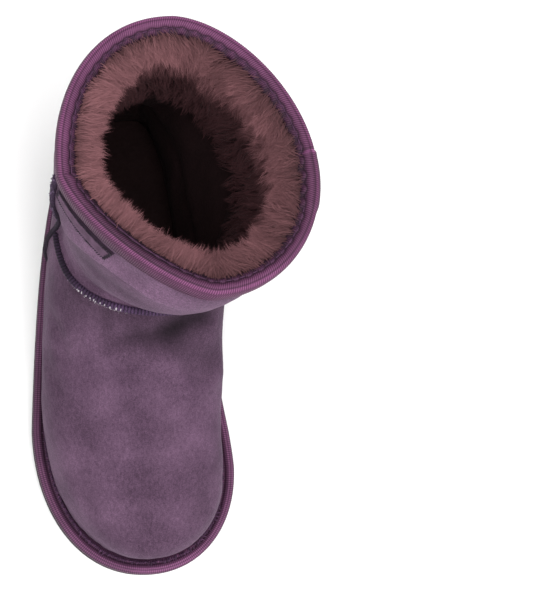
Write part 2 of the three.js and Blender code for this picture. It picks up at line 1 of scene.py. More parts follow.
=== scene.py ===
"""Winter boot for the right foot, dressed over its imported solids.

Lengths are millimetres in the boot's own frame until a mesh is made: x to the inner side of the foot,
y from the toe tip to the heel, z up from the floor.
"""

import logging
import math
from dataclasses import dataclass, field
from enum import Enum
from functools import partial
from typing import Callable

import bpy
import numpy as np
from mathutils import Matrix, Vector


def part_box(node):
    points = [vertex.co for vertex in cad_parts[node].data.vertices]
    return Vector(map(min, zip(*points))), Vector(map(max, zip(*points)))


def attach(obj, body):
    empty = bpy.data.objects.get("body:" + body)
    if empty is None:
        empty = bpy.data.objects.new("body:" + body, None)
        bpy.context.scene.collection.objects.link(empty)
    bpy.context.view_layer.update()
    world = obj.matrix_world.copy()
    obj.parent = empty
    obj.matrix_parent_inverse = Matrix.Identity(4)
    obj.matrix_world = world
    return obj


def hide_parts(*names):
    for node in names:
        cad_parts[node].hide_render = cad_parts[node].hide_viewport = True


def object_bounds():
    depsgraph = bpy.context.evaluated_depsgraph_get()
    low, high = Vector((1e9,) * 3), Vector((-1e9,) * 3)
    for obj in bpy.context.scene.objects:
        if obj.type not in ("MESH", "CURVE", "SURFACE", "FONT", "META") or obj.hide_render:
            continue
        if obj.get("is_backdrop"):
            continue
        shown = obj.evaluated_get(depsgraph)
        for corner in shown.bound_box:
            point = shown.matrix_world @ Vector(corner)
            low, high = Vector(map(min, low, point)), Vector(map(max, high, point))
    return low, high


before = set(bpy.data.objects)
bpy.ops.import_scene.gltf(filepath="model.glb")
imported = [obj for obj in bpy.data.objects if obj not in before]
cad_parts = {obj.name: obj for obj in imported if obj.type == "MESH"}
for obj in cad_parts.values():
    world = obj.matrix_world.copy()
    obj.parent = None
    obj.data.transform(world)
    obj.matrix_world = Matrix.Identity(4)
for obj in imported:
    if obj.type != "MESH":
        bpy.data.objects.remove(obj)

LOG = logging.getLogger("boot")
Array = np.ndarray
Colour = tuple[float, float, float]
Socket = bpy.types.NodeSocket
Outline = Callable[[Array], Array]
MM = 0.001
# Nudge of a turn for directions, even spread of the locks, pitch of the tapes' ribs, points in each rib
TURN_STEP = 0.002
GOLDEN = 0.6180339887
TAPE_PITCH = 1.05
RIB_STEPS = 3
# Steps of the tables that even out the panels: levels, columns, and rows between a panel's edges
LEVEL_STEPS, COLUMN_STEPS, DENSE_STEPS = 150, 181, 160


@dataclass(frozen=True)
class BootSizes:
    """Named sizes of the boot, the same as its solids have."""

    length: float = 260.0
    outer_ball: float = 58.5
    inner_ball: float = 48.0
    outer_ball_at: float = 80.0
    inner_ball_at: float = 56.0
    arch_waist: float = 5.5
    toe_spring: float = 8.0
    spring_run: float = 78.0
    arch_lift: float = 1.6
    heel_lift: float = 3.0
    sole_edge: float = 6.0
    platform: float = 10.5
    sole_step: float = 1.2
    groove_width: float = 2.6
    groove_depth: float = 2.0
    groove_pitch: float = 9.5
    fore_grooves: int = 7
    heel_grooves: int = 5
    fore_tread_at: float = 42.0
    heel_tread_at: float = 196.0
    welt_top: float = 14.5
    feather_inset: float = 8.0
    clearance: float = 0.3
    insole_thickness: float = 4.0
    wall: float = 2.8
    flat_edge: float = 6.0
    shaft_height: float = 163.0
    ankle_height: float = 90.0
    collar_half_width: float = 58.7
    collar_half_depth: float = 65.3
    collar_centre_at: float = 189.4
    collar_lean: float = 14.0
    outer_joint_at: float = 180.5
    inner_joint_at: float = 186.0
    mouth_front_skew: float = 9.9
    mouth_back_skew: float = -4.5
    tape_leg: float = 9.0
    seam_height: float = 3.6
    side_seam_top_at: float = 183.0
    side_seam_drop: float = 10.3
    side_seam_foot: float = 14.0
    side_seam_ankle_at: float = 175.0
    side_seam_foot_at: float = 168.0
    side_seam_ankle: float = 72.0
    instep_at: float = 122.0
    patch_height: float = 10.5
    patch_length: float = 43.0
    patch_drop: float = 14.5


S = BootSizes()

FOOT_COLUMNS = (
    "level", "front", "back", "outer", "inner", "outerAt", "innerAt",
    "frontRound", "backRound", "outerTaper", "innerTaper", "arch", "centre",
)
FOOT_ROWS = (
    (0.12, 0.0308, 0.969, 0.863, 0.836, 0.31, 0.225, 2.2, 3.0, 0.2, 0.11, 0.95, 0),
    (0.2, 0.022, 0.976, 0.893, 0.85, 0.33, 0.205, 2.2, 2.9, 0.19, 0.11, 0.8, 0),
    (0.3, 0.024, 0.98, 0.912, 0.825, 0.37, 0.195, 2.15, 2.8, 0.18, 0.11, 0.6, 0),
    (0.4, 0.04, 0.982, 0.913, 0.805, 0.41, 0.215, 2.1, 2.7, 0.17, 0.11, 0.42, 0),
    (0.48, 0.078, 0.983, 0.9, 0.793, 0.44, 0.28, 2.1, 2.6, 0.16, 0.1, 0.3, 0),
    (0.55, 0.132, 0.983, 0.88, 0.808, 0.48, 0.37, 2.1, 2.5, 0.14, 0.09, 0.2, 0.03),
    (0.62, 0.2, 0.981, 0.858, 0.83, 0.53, 0.45, 2.1, 2.45, 0.11, 0.07, 0.1, 0.08),
    (0.7, 0.284, 0.978, 0.833, 0.842, 0.58, 0.53, 2.1, 2.4, 0.08, 0.05, 0, 0.15),
    (0.78, 0.36, 0.974, 0.81, 0.885, 0.63, 0.6, 2.1, 2.3, 0.05, 0.03, 0, 0.22),
    (0.86, 0.425, 0.971, 0.792, 0.955, 0.67, 0.65, 2.1, 2.25, 0.03, 0.02, 0, 0.28),
    (0.93, 0.469, 0.969, 0.78, 1.035, 0.7, 0.69, 2.1, 2.2, 0.01, 0.01, 0, 0.34),
    (1.0, 0.496, 0.968, 0.772, 1.12, 0.718, 0.718, 2.1, 2.15, 0, 0, 0, 0.4),
)
SHAFT_COLUMNS = ("level", "front", "back", "half", "centre", "twist")
SHAFT_ROWS = (
    (0.12, 0.965, 0.955, 0.872, 0.42, 0.18),
    (0.26, 1.02, 0.957, 0.895, 0.47, 0.36),
    (0.4, 1.045, 0.962, 0.92, 0.54, 0.55),
    (0.56, 1.047, 0.968, 0.944, 0.63, 0.72),
    (0.72, 1.035, 0.977, 0.963, 0.75, 0.86),
    (0.87, 1.017, 0.988, 0.983, 0.88, 0.95),
    (1.0, 1.0, 1.0, 1.0, 1.0, 1.0),
)
SHAFT_ROUND = 2.1
MOUTH_ROUND = {"frontOuter": 1.44, "frontInner": 1.95, "backOuter": 2.07, "backInner": 1.73}
# Turn, level, spread of the turn, rise, depth: turns in degrees, the rest as shares of height and wall
SWELLS = ((136.0, 0.736, 30.0, 0.08, 0.57), (0.0, 0.638, 55.0, 0.123, -0.36))
# The leather's slouch where the ankle bends, measured the same way: it is soft, and only dressed in
SLOUCH = ((100.0, 0.475, 42.0, 0.105, -1.45),)
ARCH_AT = 0.38
ARCH_RUN = 0.2
ARCH_START = 0.16


class Side(Enum):
    """The two sides of the foot."""

    OUTER = "outer"
    INNER = "inner"


def curve_through(levels: Array, values: Array) -> Callable[[Array], Array]:
    """Smooth curve through a table's column, without overshoot.

    Args:
        levels: rising stations.
        values: the value at each station.

    Returns:
        A function from stations to values.
    """
    levels, values = np.asarray(levels, float), np.asarray(values, float)
    slopes = np.diff(values) / np.diff(levels)
    tangents = np.empty_like(values)
    tangents[0], tangents[-1] = slopes[0], slopes[-1]
    a, b = slopes[:-1], slopes[1:]
    total = np.where(a + b == 0, 1.0, a + b)
    tangents[1:-1] = np.where(a * b <= 0, 0.0, 2 * a * b / total)

    def at(level: Array) -> Array:
        """Value of the curve.

        Args:
            level: stations to read it at.

        Returns:
            The value at each station.
        """
        x = np.clip(level, levels[0], levels[-1])
        i = np.clip(np.searchsorted(levels, x, side="right") - 1, 0, len(levels) - 2)
        span = levels[i + 1] - levels[i]
        s = (x - levels[i]) / span
        s2, s3 = s * s, s * s * s
        return (
            (2 * s3 - 3 * s2 + 1) * values[i]
            + (s3 - 2 * s2 + s) * span * tangents[i]
            + (3 * s2 - 2 * s3) * values[i + 1]
            + (s3 - s2) * span * tangents[i + 1]
        )

    return at


def smooth(low: float, high: float, value: Array) -> Array:
    """Soft step from 0 at low to 1 at high."""
    t = np.clip((np.asarray(value, float) - low) / (high - low), 0, 1)
    return t * t * (3 - 2 * t)


def unit(vectors: Array) -> Array:
    """Vectors of length one along the last axis."""
    return vectors / np.maximum(np.linalg.norm(vectors, axis=-1, keepdims=True), 1e-9)


def run_length(points: Array, axis: int = 0) -> Array:
    """Length run from the start along one axis of a line or grid of points.

    Args:
        points: places, (..., 2) or (..., 3).
        axis: axis to run along.

    Returns:
        The length at each place, 0 at the first.
    """
    run = np.cumsum(np.linalg.norm(np.diff(points, axis=axis), axis=-1), axis)
    return np.insert(run, 0, 0.0, axis)


def soft_noise(points: Array, size: float, seed: int) -> Array:
    """Smooth random field between about -1 and 1.

    Args:
        points: places, (..., 3).
        size: length over which the field changes.
        seed: picks the field.

    Returns:
        The field's value at each place.
    """
    p = np.asarray(points, float) / size + seed * 17.31
    cell = np.floor(p).astype(np.int64)
    f = p - cell
    w = f * f * (3 - 2 * f)
    total = np.zeros(p.shape[:-1])
    for dx in (0, 1):
        for dy in (0, 1):
            for dz in (0, 1):
                key = (cell[..., 0] + dx) * 73856093
                key = key ^ (cell[..., 1] + dy) * 19349663 ^ (cell[..., 2] + dz) * 83492791
                key = (key ^ (key >> 13)) * 1274126177 + seed * 7919
                value = ((key ^ (key >> 16)) & 0xFFFF) / 32767.5 - 1
                total += (
                    value
                    * (w[..., 0] if dx else 1 - w[..., 0])
                    * (w[..., 1] if dy else 1 - w[..., 1])
                    * (w[..., 2] if dz else 1 - w[..., 2])
                )
    return total


class LastForm:
    """The boot's form over its last, worked out from the tables of sections."""

    def __init__(self) -> None:
        """Reads the tables into one smooth curve for each measure."""
        rows = [self._foot_row(r) for r in FOOT_ROWS] + [self._shaft_row(r) for r in SHAFT_ROWS]
        levels = np.array([r.pop("level") for r in rows])
        self.foot_level: float = float(levels[0])
        self.curves = {name: curve_through(levels, [r[name] for r in rows]) for name in rows[0]}
        side_levels = [
            S.shaft_height,
            0.5 * (S.shaft_height - S.side_seam_drop + S.side_seam_ankle),
            S.side_seam_ankle,
            S.side_seam_foot,
        ]
        side_at = [
            S.side_seam_top_at,
            0.5 * (S.side_seam_top_at + S.side_seam_ankle_at),
            S.side_seam_ankle_at,
            S.side_seam_foot_at,
        ]
        self.side_seam = curve_through(np.array(side_levels[::-1]), np.array(side_at[::-1]))
        join = S.side_seam_ankle_at
        run, fall = join - S.instep_at, S.ankle_height - S.side_seam_ankle
        self.instep = curve_through(
            np.array([S.instep_at, S.instep_at + 0.25 * run, S.instep_at + 0.6 * run, join]),
            S.ankle_height - np.array([-0.05, 0.25, 0.7, 1.0]) * fall,
        )

    @staticmethod
    def _foot_row(row: tuple[float, ...]) -> dict[str, float]:
        """One section of the foot, in millimetres.

        Args:
            row: shares in the order of FOOT_COLUMNS.

        Returns:
            The section's measures by name.
        """
        r = dict(zip(FOOT_COLUMNS, row))
        centre = r["centre"] * S.collar_lean
        return {
            "level": r["level"] * S.ankle_height,
            "front": r["front"] * S.length,
            "back": r["back"] * S.length,
            "outer": r["outer"] * S.outer_ball + centre,
            "inner": r["inner"] * S.inner_ball - centre,
            "outerAt": r["outerAt"] * S.length,
            "innerAt": r["innerAt"] * S.length,
            "frontOuter": r["frontRound"],
            "frontInner": r["frontRound"],
            "backOuter": r["backRound"],
            "backInner": r["backRound"],
            "outerTaper": r["outerTaper"],
            "innerTaper": r["innerTaper"],
            "arch": r["arch"] * S.arch_waist,
            "centre": centre,
            "frontSkew": 0.0,
            "backSkew": 0.0,
        }

    @staticmethod
    def _shaft_row(row: tuple[float, ...]) -> dict[str, float]:
        """One section of the shaft, in millimetres.

        Args:
            row: shares in the order of SHAFT_COLUMNS.

        Returns:
            The section's measures by name.
        """
        r = dict(zip(SHAFT_COLUMNS, row))
        twist = r["twist"]
        plain = S.collar_centre_at - 0.04 * S.collar_half_depth
        rounds = {k: SHAFT_ROUND + (v - SHAFT_ROUND) * twist for k, v in MOUTH_ROUND.items()}
        return {
            "level": S.ankle_height + r["level"] * (S.shaft_height - S.ankle_height),
            "front": S.collar_centre_at - r["front"] * S.collar_half_depth,
            "back": S.collar_centre_at + r["back"] * S.collar_half_depth,
            "outer": r["half"] * S.collar_half_width,
            "inner": r["half"] * S.collar_half_width,
            "outerAt": plain + (S.outer_joint_at - plain) * twist,
            "innerAt": plain + (S.inner_joint_at - plain) * twist,
            **rounds,
            "outerTaper": 0.0,
            "innerTaper": 0.0,
            "arch": 0.0,
            "centre": r["centre"] * S.collar_lean,
            "frontSkew": twist * S.mouth_front_skew,
            "backSkew": twist * S.mouth_back_skew,
        }

    @staticmethod
    def sole_section() -> dict[str, float]:
        """Measures of the sole's own outline, over the welt."""
        return {
            "front": 0.0, "back": S.length, "outer": S.outer_ball, "inner": S.inner_ball,
            "outerAt": S.outer_ball_at, "innerAt": S.inner_ball_at,
            "frontOuter": 2.15, "frontInner": 2.1, "backOuter": 3.1, "backInner": 3.1,
            "outerTaper": 0.22, "innerTaper": 0.12, "arch": S.arch_waist, "centre": 0.0,
            "frontSkew": 0.0, "backSkew": 0.0,
        }

    @staticmethod
    def outline(section: dict[str, Array], turn: Array) -> Array:
        """Points of closed outlines.

        Args:
            section: measures, single or one for each turn.
            turn: 0 at the heel, a quarter at the outer side, a half at the toe.

        Returns:
            Points (..., 2).
        """
        angle = np.asarray(turn, float) * 2 * np.pi
        along, across = np.cos(angle), np.sin(angle)
        rear, outer = along >= 0, across >= 0

        def side(name: str) -> Array:
            """The measure of the side that each turn is on."""
            return np.where(outer, section["outer" + name], section["inner" + name])

        power = 2 / np.where(
            rear,
            np.where(outer, section["backOuter"], section["backInner"]),
            np.where(outer, section["frontOuter"], section["frontInner"]),
        )
        reach, spread = np.abs(along) ** power, np.abs(across) ** power
        station = side("At")
        end = np.where(rear, section["back"], section["front"])
        taper = np.where(rear, side("Taper"), 0)
        half = side("") * (1 - taper * reach) * spread
        bump = section["arch"] * smooth(0, ARCH_START, reach)
        bump = bump * np.exp(-(((reach - ARCH_AT) / ARCH_RUN) ** 2) / 2)
        half = half - np.where(rear & ~outer, bump, 0)
        middle = section["centre"] + np.where(rear, section["backSkew"], section["frontSkew"]) * reach
        return np.stack([middle + np.where(outer, -half, half), station + (end - station) * reach], -1)

    @staticmethod
    def outward(outline: Outline, turn: Array) -> Array:
        """Outward direction of an outline at each turn, (..., 2)."""
        along = outline(turn + TURN_STEP) - outline(turn - TURN_STEP)
        return unit(np.stack([along[..., 1], -along[..., 0]], -1))

    @staticmethod
    def spring(y: Array) -> Array:
        """Rise of the toe at a distance from its tip."""
        return S.toe_spring * np.maximum(0, (S.spring_run - y) / S.spring_run) ** 2

    def deck(self, y: Array) -> Array:
        """How far what stands on the sole is raised."""
        return self.spring(y) + S.heel_lift * smooth(0.4 * S.length, 0.68 * S.length, y)

    def underside(self, y: Array) -> Array:
        """Height of the sole's tread."""
        waist = smooth(0.44 * S.length, 0.54 * S.length, y) * (1 - smooth(0.6 * S.length, 0.7 * S.length, y))
        return self.spring(y) + S.arch_lift * waist

    def face(self, turn: Array, level: Array) -> Array:
        """Outer face of the upper.

        Args:
            turn: turns round the boot, as in outline.
            level: heights over the floor before the toe and heel are raised.

        Returns:
            Points (..., 3).
        """
        turn, level = np.broadcast_arrays(np.asarray(turn, float), np.asarray(level, float))
        section = {name: curve(level) for name, curve in self.curves.items()}
        flat = self.outline(section, turn)
        swell = np.zeros(turn.shape)
        for at, height, spread, rise, depth in SWELLS + SLOUCH:
            away = np.abs((turn * 360 - at + 540) % 360 - 180)
            up = (level / S.shaft_height - height) / rise
            swell += depth * S.wall * np.exp(-((away / spread) ** 2) - up * up)
        flat = flat + self.outward(partial(self.outline, section), turn) * swell[..., None]
        settle = 1 - smooth(self.foot_level, S.ankle_height, level)
        z = level + self.deck(flat[..., 1]) * settle
        return np.concatenate([flat, z[..., None]], -1)

    def normal(self, turn: Array, level: Array) -> Array:
        """Outward direction of the upper's face, level at the foot and at the mouth.

        Args:
            turn: turns round the boot.
            level: heights over the floor.

        Returns:
            Directions of length one, (..., 3).
        """
        turn, level = np.broadcast_arrays(np.asarray(turn, float), np.asarray(level, float))
        low, high = np.maximum(self.foot_level, level - 0.6), np.minimum(S.shaft_height, level + 0.6)
        along = self.face(turn + TURN_STEP, level) - self.face(turn - TURN_STEP, level)
        rise = self.face(turn, high) - self.face(turn, low)
        n = unit(np.cross(along, rise))
        edge = np.minimum(level - self.foot_level, S.shaft_height - level)
        n[..., 2] *= np.clip(edge / S.flat_edge, 0, 1)
        return unit(n)

    def grown(self, turn: Array, level: Array, growth: Array) -> Array:
        """The upper's face moved out (+) or in (-) by a growth."""
        growth = np.asarray(growth, float)
        return self.face(turn, level) + self.normal(turn, level) * growth[..., None]

    def sole_outline(self, inset: float, turn: Array) -> Array:
        """The sole's outline drawn in by an inset.

        Args:
            inset: distance from the edge.
            turn: turns round the sole.

        Returns:
            Points (..., 2).
        """
        outline = partial(self.outline, self.sole_section())
        nudges = np.linspace(-0.006, 0.006, 9)
        out = unit(sum(self.outward(outline, turn + d) for d in nudges))
        return sum(outline(turn + 0.5 * d) for d in nudges) / len(nudges) - out * inset

    def seam_turn(self, levels: Array, side: Side) -> Array:
        """Turn at which a side seam crosses each level.

        Args:
            levels: heights over the floor.
            side: which side seam.

        Returns:
            One turn for each level.
        """
        turn = np.linspace(0, 0.5, 241) if side is Side.OUTER else np.linspace(1, 0.5, 241)
        points = self.face(turn[None, :], np.asarray(levels)[:, None])
        ahead = self.side_seam(points[..., 2]) - points[..., 1]
        return np.array([np.interp(0.0, row, turn) for row in ahead])

    def level_outline(self, level: float, growth: float, turn: Array) -> Array:
        """The upper's outline at one level, moved out by a growth, (..., 2)."""
        return self.grown(turn, np.full(np.shape(turn), level), np.full(np.shape(turn), growth))[..., :2]


FORM = LastForm()
_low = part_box("welt")[0]
SHIFT = np.array([
    _low.x / MM - FORM.sole_outline(0, np.linspace(0, 1, 2001))[:, 0].min(),
    _low.y / MM,
    0.0,
])


def place(points: Array) -> Array:
    """Boot millimetres to frame metres."""
    return (np.asarray(points, float) + SHIFT) * MM


def even_turns(outline: Outline, count: int) -> tuple[Array, float]:
    """Turns that stand evenly along a closed outline.

    Args:
        outline: points of the outline at given turns.
        count: number of turns.

    Returns:
        The turns and the outline's length.
    """
    dense = np.linspace(0, 1, 4001)
    run = run_length(outline(dense))
    return np.interp(np.arange(count) / count * run[-1], run, dense), float(run[-1])


def pitched_turns(outline: Outline, pitch: float, steps: int = 1) -> Array:
    """Turns about a pitch apart along a closed outline.

    Args:
        outline: points of the outline at given turns.
        pitch: length from one to the next.
        steps: turns within each pitch.

    Returns:
        The turns.
    """
    _, length = even_turns(outline, 1)
    return even_turns(outline, round(length / pitch) * steps)[0]


class Nodes:
    """Short way to build a material's node tree."""

    def __init__(self, name: str) -> None:
        """Starts a material with one surface shader.

        Args:
            name: the material's name.
        """
        self.material = bpy.data.materials.new(name)
        self.material.use_nodes = True
        self.tree = self.material.node_tree
        self.shader = next(n for n in self.tree.nodes if n.type == "BSDF_PRINCIPLED")
        self.place = self.add("ShaderNodeTexCoord").outputs["Object"]

    def add(self, kind: str, **settings: object) -> bpy.types.Node:
        """Adds a node and sets its properties.

        Args:
            kind: type of the node.
            **settings: its properties by name.

        Returns:
            The new node.
        """
        node = self.tree.nodes.new(kind)
        for name, value in settings.items():
            setattr(node, name, value)
        return node

    def plug(self, source: Socket, target: Socket) -> None:
        """Links an output to an input."""
        self.tree.links.new(source, target)

    def noise(
        self, size_mm: float, detail: float = 3.0, rough: float = 0.55,
        stretch: Colour = (1, 1, 1), warp: float = 0.0,
    ) -> Socket:
        """Noise between 0 and 1.

        Args:
            size_mm: width of its grains.
            detail: number of finer layers.
            rough: strength of the finer layers.
            stretch: scale along each axis.
            warp: how far the grains are bent.

        Returns:
            The noise.
        """
        mapping = self.add("ShaderNodeMapping")
        mapping.inputs["Scale"].default_value = stretch
        self.plug(self.place, mapping.inputs["Vector"])
        node = self.add("ShaderNodeTexNoise")
        node.inputs["Scale"].default_value = 1 / (size_mm * MM)
        node.inputs["Detail"].default_value = detail
        node.inputs["Roughness"].default_value = rough
        node.inputs["Distortion"].default_value = warp
        self.plug(mapping.outputs["Vector"], node.inputs["Vector"])
        return node.outputs["Fac"]

    def span(self, source: Socket, low: float, high: float, to_low: float, to_high: float) -> Socket:
        """Maps a range to another, clamped.

        Args:
            source: the value.
            low: start of its range.
            high: end of its range.
            to_low: what the start becomes.
            to_high: what the end becomes.

        Returns:
            The mapped value.
        """
        node = self.add("ShaderNodeMapRange")
        for name, value in (("From Min", low), ("From Max", high), ("To Min", to_low), ("To Max", to_high)):
            node.inputs[name].default_value = value
        self.plug(source, node.inputs["Value"])
        return node.outputs["Result"]

    def sums(self, operation: str, a: Socket, b: Socket | float) -> Socket:
        """Arithmetic of two values.

        Args:
            operation: name of the operation.
            a: the first value.
            b: the second, a number or a value of the tree.

        Returns:
            The result.
        """
        node = self.add("ShaderNodeMath", operation=operation)
        self.plug(a, node.inputs[0])
        if isinstance(b, (int, float)):
            node.inputs[1].default_value = b
        else:
            self.plug(b, node.inputs[1])
        return node.outputs["Value"]

    def mix(self, share: Socket, a: Colour | Socket, b: Colour | Socket) -> Socket:
        """Blend of two colours.

        Args:
            share: share of the second colour.
            a: the first colour.
            b: the second colour.

        Returns:
            The blended colour.
        """
        node = self.add("ShaderNodeMix", data_type="RGBA")
        self.plug(share, node.inputs["Factor"])
        for socket, value in ((node.inputs[6], a), (node.inputs[7], b)):
            if isinstance(value, tuple):
                socket.default_value = (*value, 1)
            else:
                self.plug(value, socket)
        return node.outputs[2]

    def tinted(self, colour: Socket, tone: Socket) -> Socket:
        """A colour made lighter or darker.

        Args:
            colour: the colour.
            tone: what it is multiplied by.

        Returns:
            The new colour.
        """
        node = self.add("ShaderNodeVectorMath", operation="SCALE")
        self.plug(colour, node.inputs[0])
        self.plug(tone, node.inputs["Scale"])
        return node.outputs["Vector"]

    def painted(self, name: str = "tone") -> Socket:
        """Value that the mesh carries at each point."""
        return self.add("ShaderNodeAttribute", attribute_name=name).outputs["Fac"]

    def bump(self, height: Socket, depth_mm: float, under: Socket | None = None) -> Socket:
        """Relief of a surface.

        Args:
            height: height between 0 and 1.
            depth_mm: depth that a height of 1 stands for.
            under: a coarser relief that this one lies on.

        Returns:
            The direction of the surface.
        """
        node = self.add("ShaderNodeBump")
        node.inputs["Distance"].default_value = depth_mm * MM
        self.plug(height, node.inputs["Height"])
        if under is not None:
            self.plug(under, node.inputs["Normal"])
        return node.outputs["Normal"]

    def finish(self, colour: Socket, rough: Socket, normal: Socket, **fixed: object) -> bpy.types.Material:
        """Joins the parts to the shader and sets its fixed values.

        Args:
            colour: colour of the surface.
            rough: its roughness.
            normal: its relief.
            **fixed: the shader's other inputs, with _ for a space.

        Returns:
            The finished material.
        """
        self.plug(colour, self.shader.inputs["Base Color"])
        self.plug(rough, self.shader.inputs["Roughness"])
        self.plug(normal, self.shader.inputs["Normal"])
        for name, value in fixed.items():
            self.shader.inputs[name.replace("_", " ")].default_value = value
        return self.material


@dataclass(frozen=True)
class SuedeFinish:
    """Brushed suede whose nap lies in soft patches."""

    name: str = "brushed_suede"
    dark: Colour = (0.05, 0.0262, 0.0475)
    light: Colour = (0.12, 0.0665, 0.112)
    patch_mm: float = 21.0
    grain_mm: float = 0.6

    def material(self) -> bpy.types.Material:
        """Builds the suede's material.

        Returns:
            The material.
        """
        n = Nodes(self.name)
        broad = n.noise(self.patch_mm, 2.0, 0.45, warp=0.2)
        brushed = n.noise(1.5, 3.0, 0.65, stretch=(1.0, 0.5, 1.0), warp=0.3)
        grain = n.noise(self.grain_mm, 2.0, 0.8)
        lie = n.sums("ADD", n.sums("MULTIPLY", n.span(broad, 0.33, 0.67, 0, 1), 0.48),
                     n.sums("MULTIPLY", n.span(brushed, 0.28, 0.72, 0, 1), 0.52))
        colour = n.mix(lie, self.dark, self.light)
        fleck = n.span(grain, 0.3, 0.7, 0.62, 1.38)
        colour = n.tinted(colour, n.sums("MULTIPLY", fleck, n.painted()))
        relief = n.bump(grain, 0.3, n.bump(brushed, 0.3))
        rough = n.span(lie, 0, 1, 0.98, 0.86)
        return n.finish(colour, rough, relief, Sheen_Weight=0.1, Sheen_Roughness=0.4,
                        Sheen_Tint=(0.75, 0.6, 0.78, 1), Specular_IOR_Level=0.15)


@dataclass(frozen=True)
class TapeFinish:
    """Ribbed woven tape with a slight sheen on its ribs."""

    name: str
    # Painted shade: the dark valley colour fills the grooves between the ribs, and rows without ribs take
    # nearly the same dark colour.
    valley: Colour = (0.03, 0.006, 0.025)
    crest: Colour = (0.208, 0.067, 0.158)
    gloss: float = 0.5

    def material(self) -> bpy.types.Material:
        """Builds the tape's material.

        Returns:
            The material.
        """
        n = Nodes(self.name)
        rib = n.painted("rib")
        yarn = n.noise(0.5, 2.0, 0.6)
        drift = n.noise(26.0, 3.0, 0.5)
        share = n.sums("MULTIPLY", n.span(rib, 0, 1, 0.05, 1.0), n.span(yarn, 0.25, 0.75, 0.66, 1.15))
        colour = n.mix(share, self.valley, self.crest)
        colour = n.tinted(colour, n.sums("MULTIPLY", n.span(drift, 0.3, 0.7, 0.9, 1.1), n.painted()))
        rough = n.span(rib, 0, 1, 0.85, self.gloss)
        return n.finish(colour, rough, n.bump(yarn, 0.12), Sheen_Weight=0.02, Sheen_Roughness=0.4,
                        Sheen_Tint=(0.85, 0.5, 0.8, 1), Specular_IOR_Level=0.22)


@dataclass(frozen=True)
class PileFinish:
    """Wool pile, dark at the roots and pale at the tips."""

    name: str
    # Painted shade: the hairs darken towards the root colour where the pile shades itself, and the same dark
    # colour paints the shade deep inside the boot.
    root: Colour = (0.035, 0.012, 0.014)
    tip: Colour = (0.225, 0.098, 0.108)
    sheen: float = 0.12

    def material(self) -> bpy.types.Material:
        """Builds the pile's material.

        Returns:
            The material.
        """
        n = Nodes(self.name)
        drift = n.noise(14.0, 3.0, 0.55)
        tuft = n.noise(1.6, 2.0, 0.6)
        colour = n.mix(n.painted(), self.root, self.tip)
        tone = n.sums("MULTIPLY", n.span(drift, 0.3, 0.7, 0.86, 1.12), n.span(tuft, 0.2, 0.8, 0.86, 1.14))
        colour = n.tinted(colour, tone)
        rough = n.span(tuft, 0, 1, 0.95, 0.75)
        return n.finish(colour, rough, n.bump(tuft, 0.3), Sheen_Weight=self.sheen, Sheen_Roughness=0.5,
                        Sheen_Tint=(0.9, 0.62, 0.66, 1), Specular_IOR_Level=0.15)


@dataclass(frozen=True)
class ThreadFinish:
    """Thick sewing thread or a cut edge, twisted and matt."""

    name: str
    dark: Colour = (0.022, 0.012, 0.03)
    light: Colour = (0.12, 0.07, 0.15)
    rough: float = 0.7

    def material(self) -> bpy.types.Material:
        """Builds the thread's material.

        Returns:
            The material.
        """
        n = Nodes(self.name)
        twist = n.noise(0.6, 2.0, 0.6, warp=0.5)
        drift = n.noise(9.0, 2.0, 0.5)
        share = n.sums("MULTIPLY", n.span(twist, 0.3, 0.7, 0.2, 1), n.span(drift, 0.3, 0.7, 0.5, 1.0))
        colour = n.tinted(n.mix(share, self.dark, self.light), n.painted())
        rough = n.span(twist, 0, 1, self.rough + 0.15, self.rough - 0.1)
        return n.finish(colour, rough, n.bump(twist, 0.15), Specular_IOR_Level=0.18)


@dataclass(frozen=True)
class RubberFinish:
    """Light foamed rubber with fine pores."""

    name: str = "foamed_rubber"
    dark: Colour = (0.022, 0.021, 0.023)
    light: Colour = (0.075, 0.072, 0.072)

    def material(self) -> bpy.types.Material:
        """Builds the rubber's material.

        Returns:
            The material.
        """
        n = Nodes(self.name)
        pores = n.noise(0.7, 3.0, 0.6)
        dust = n.noise(12.0, 4.0, 0.6, warp=0.4)
        colour = n.mix(n.span(dust, 0.35, 0.7, 0, 1), self.dark, self.light)
        colour = n.tinted(colour, n.span(pores, 0.3, 0.7, 0.8, 1.2))
        rough = n.span(dust, 0.3, 0.7, 0.7, 0.95)
        return n.finish(colour, rough, n.bump(pores, 0.18), Specular_IOR_Level=0.35)


@dataclass(frozen=True)
class FloorFinish:
    """Plain pale studio floor."""

    name: str = "studio_floor"

    def material(self) -> bpy.types.Material:
        """Builds the floor's material.

        Returns:
            The material.
        """
        n = Nodes(self.name)
        cloud = n.noise(160.0, 2.0, 0.5)
        colour = n.mix(n.span(cloud, 0.3, 0.7, 0, 1), (0.955, 0.955, 0.95), (0.965, 0.965, 0.96))
        return n.finish(colour, n.span(cloud, 0, 1, 0.9, 0.95), n.bump(cloud, 0.01), Specular_IOR_Level=0.1)


def linked(name: str, data: bpy.types.ID) -> bpy.types.Object:
    """Puts data into the scene as a named object.

    Args:
        name: the object's name.
        data: its mesh, light or camera.

    Returns:
        The new object.
    """
    thing = bpy.data.objects.new(name, data)
    bpy.context.scene.collection.objects.link(thing)
    return thing


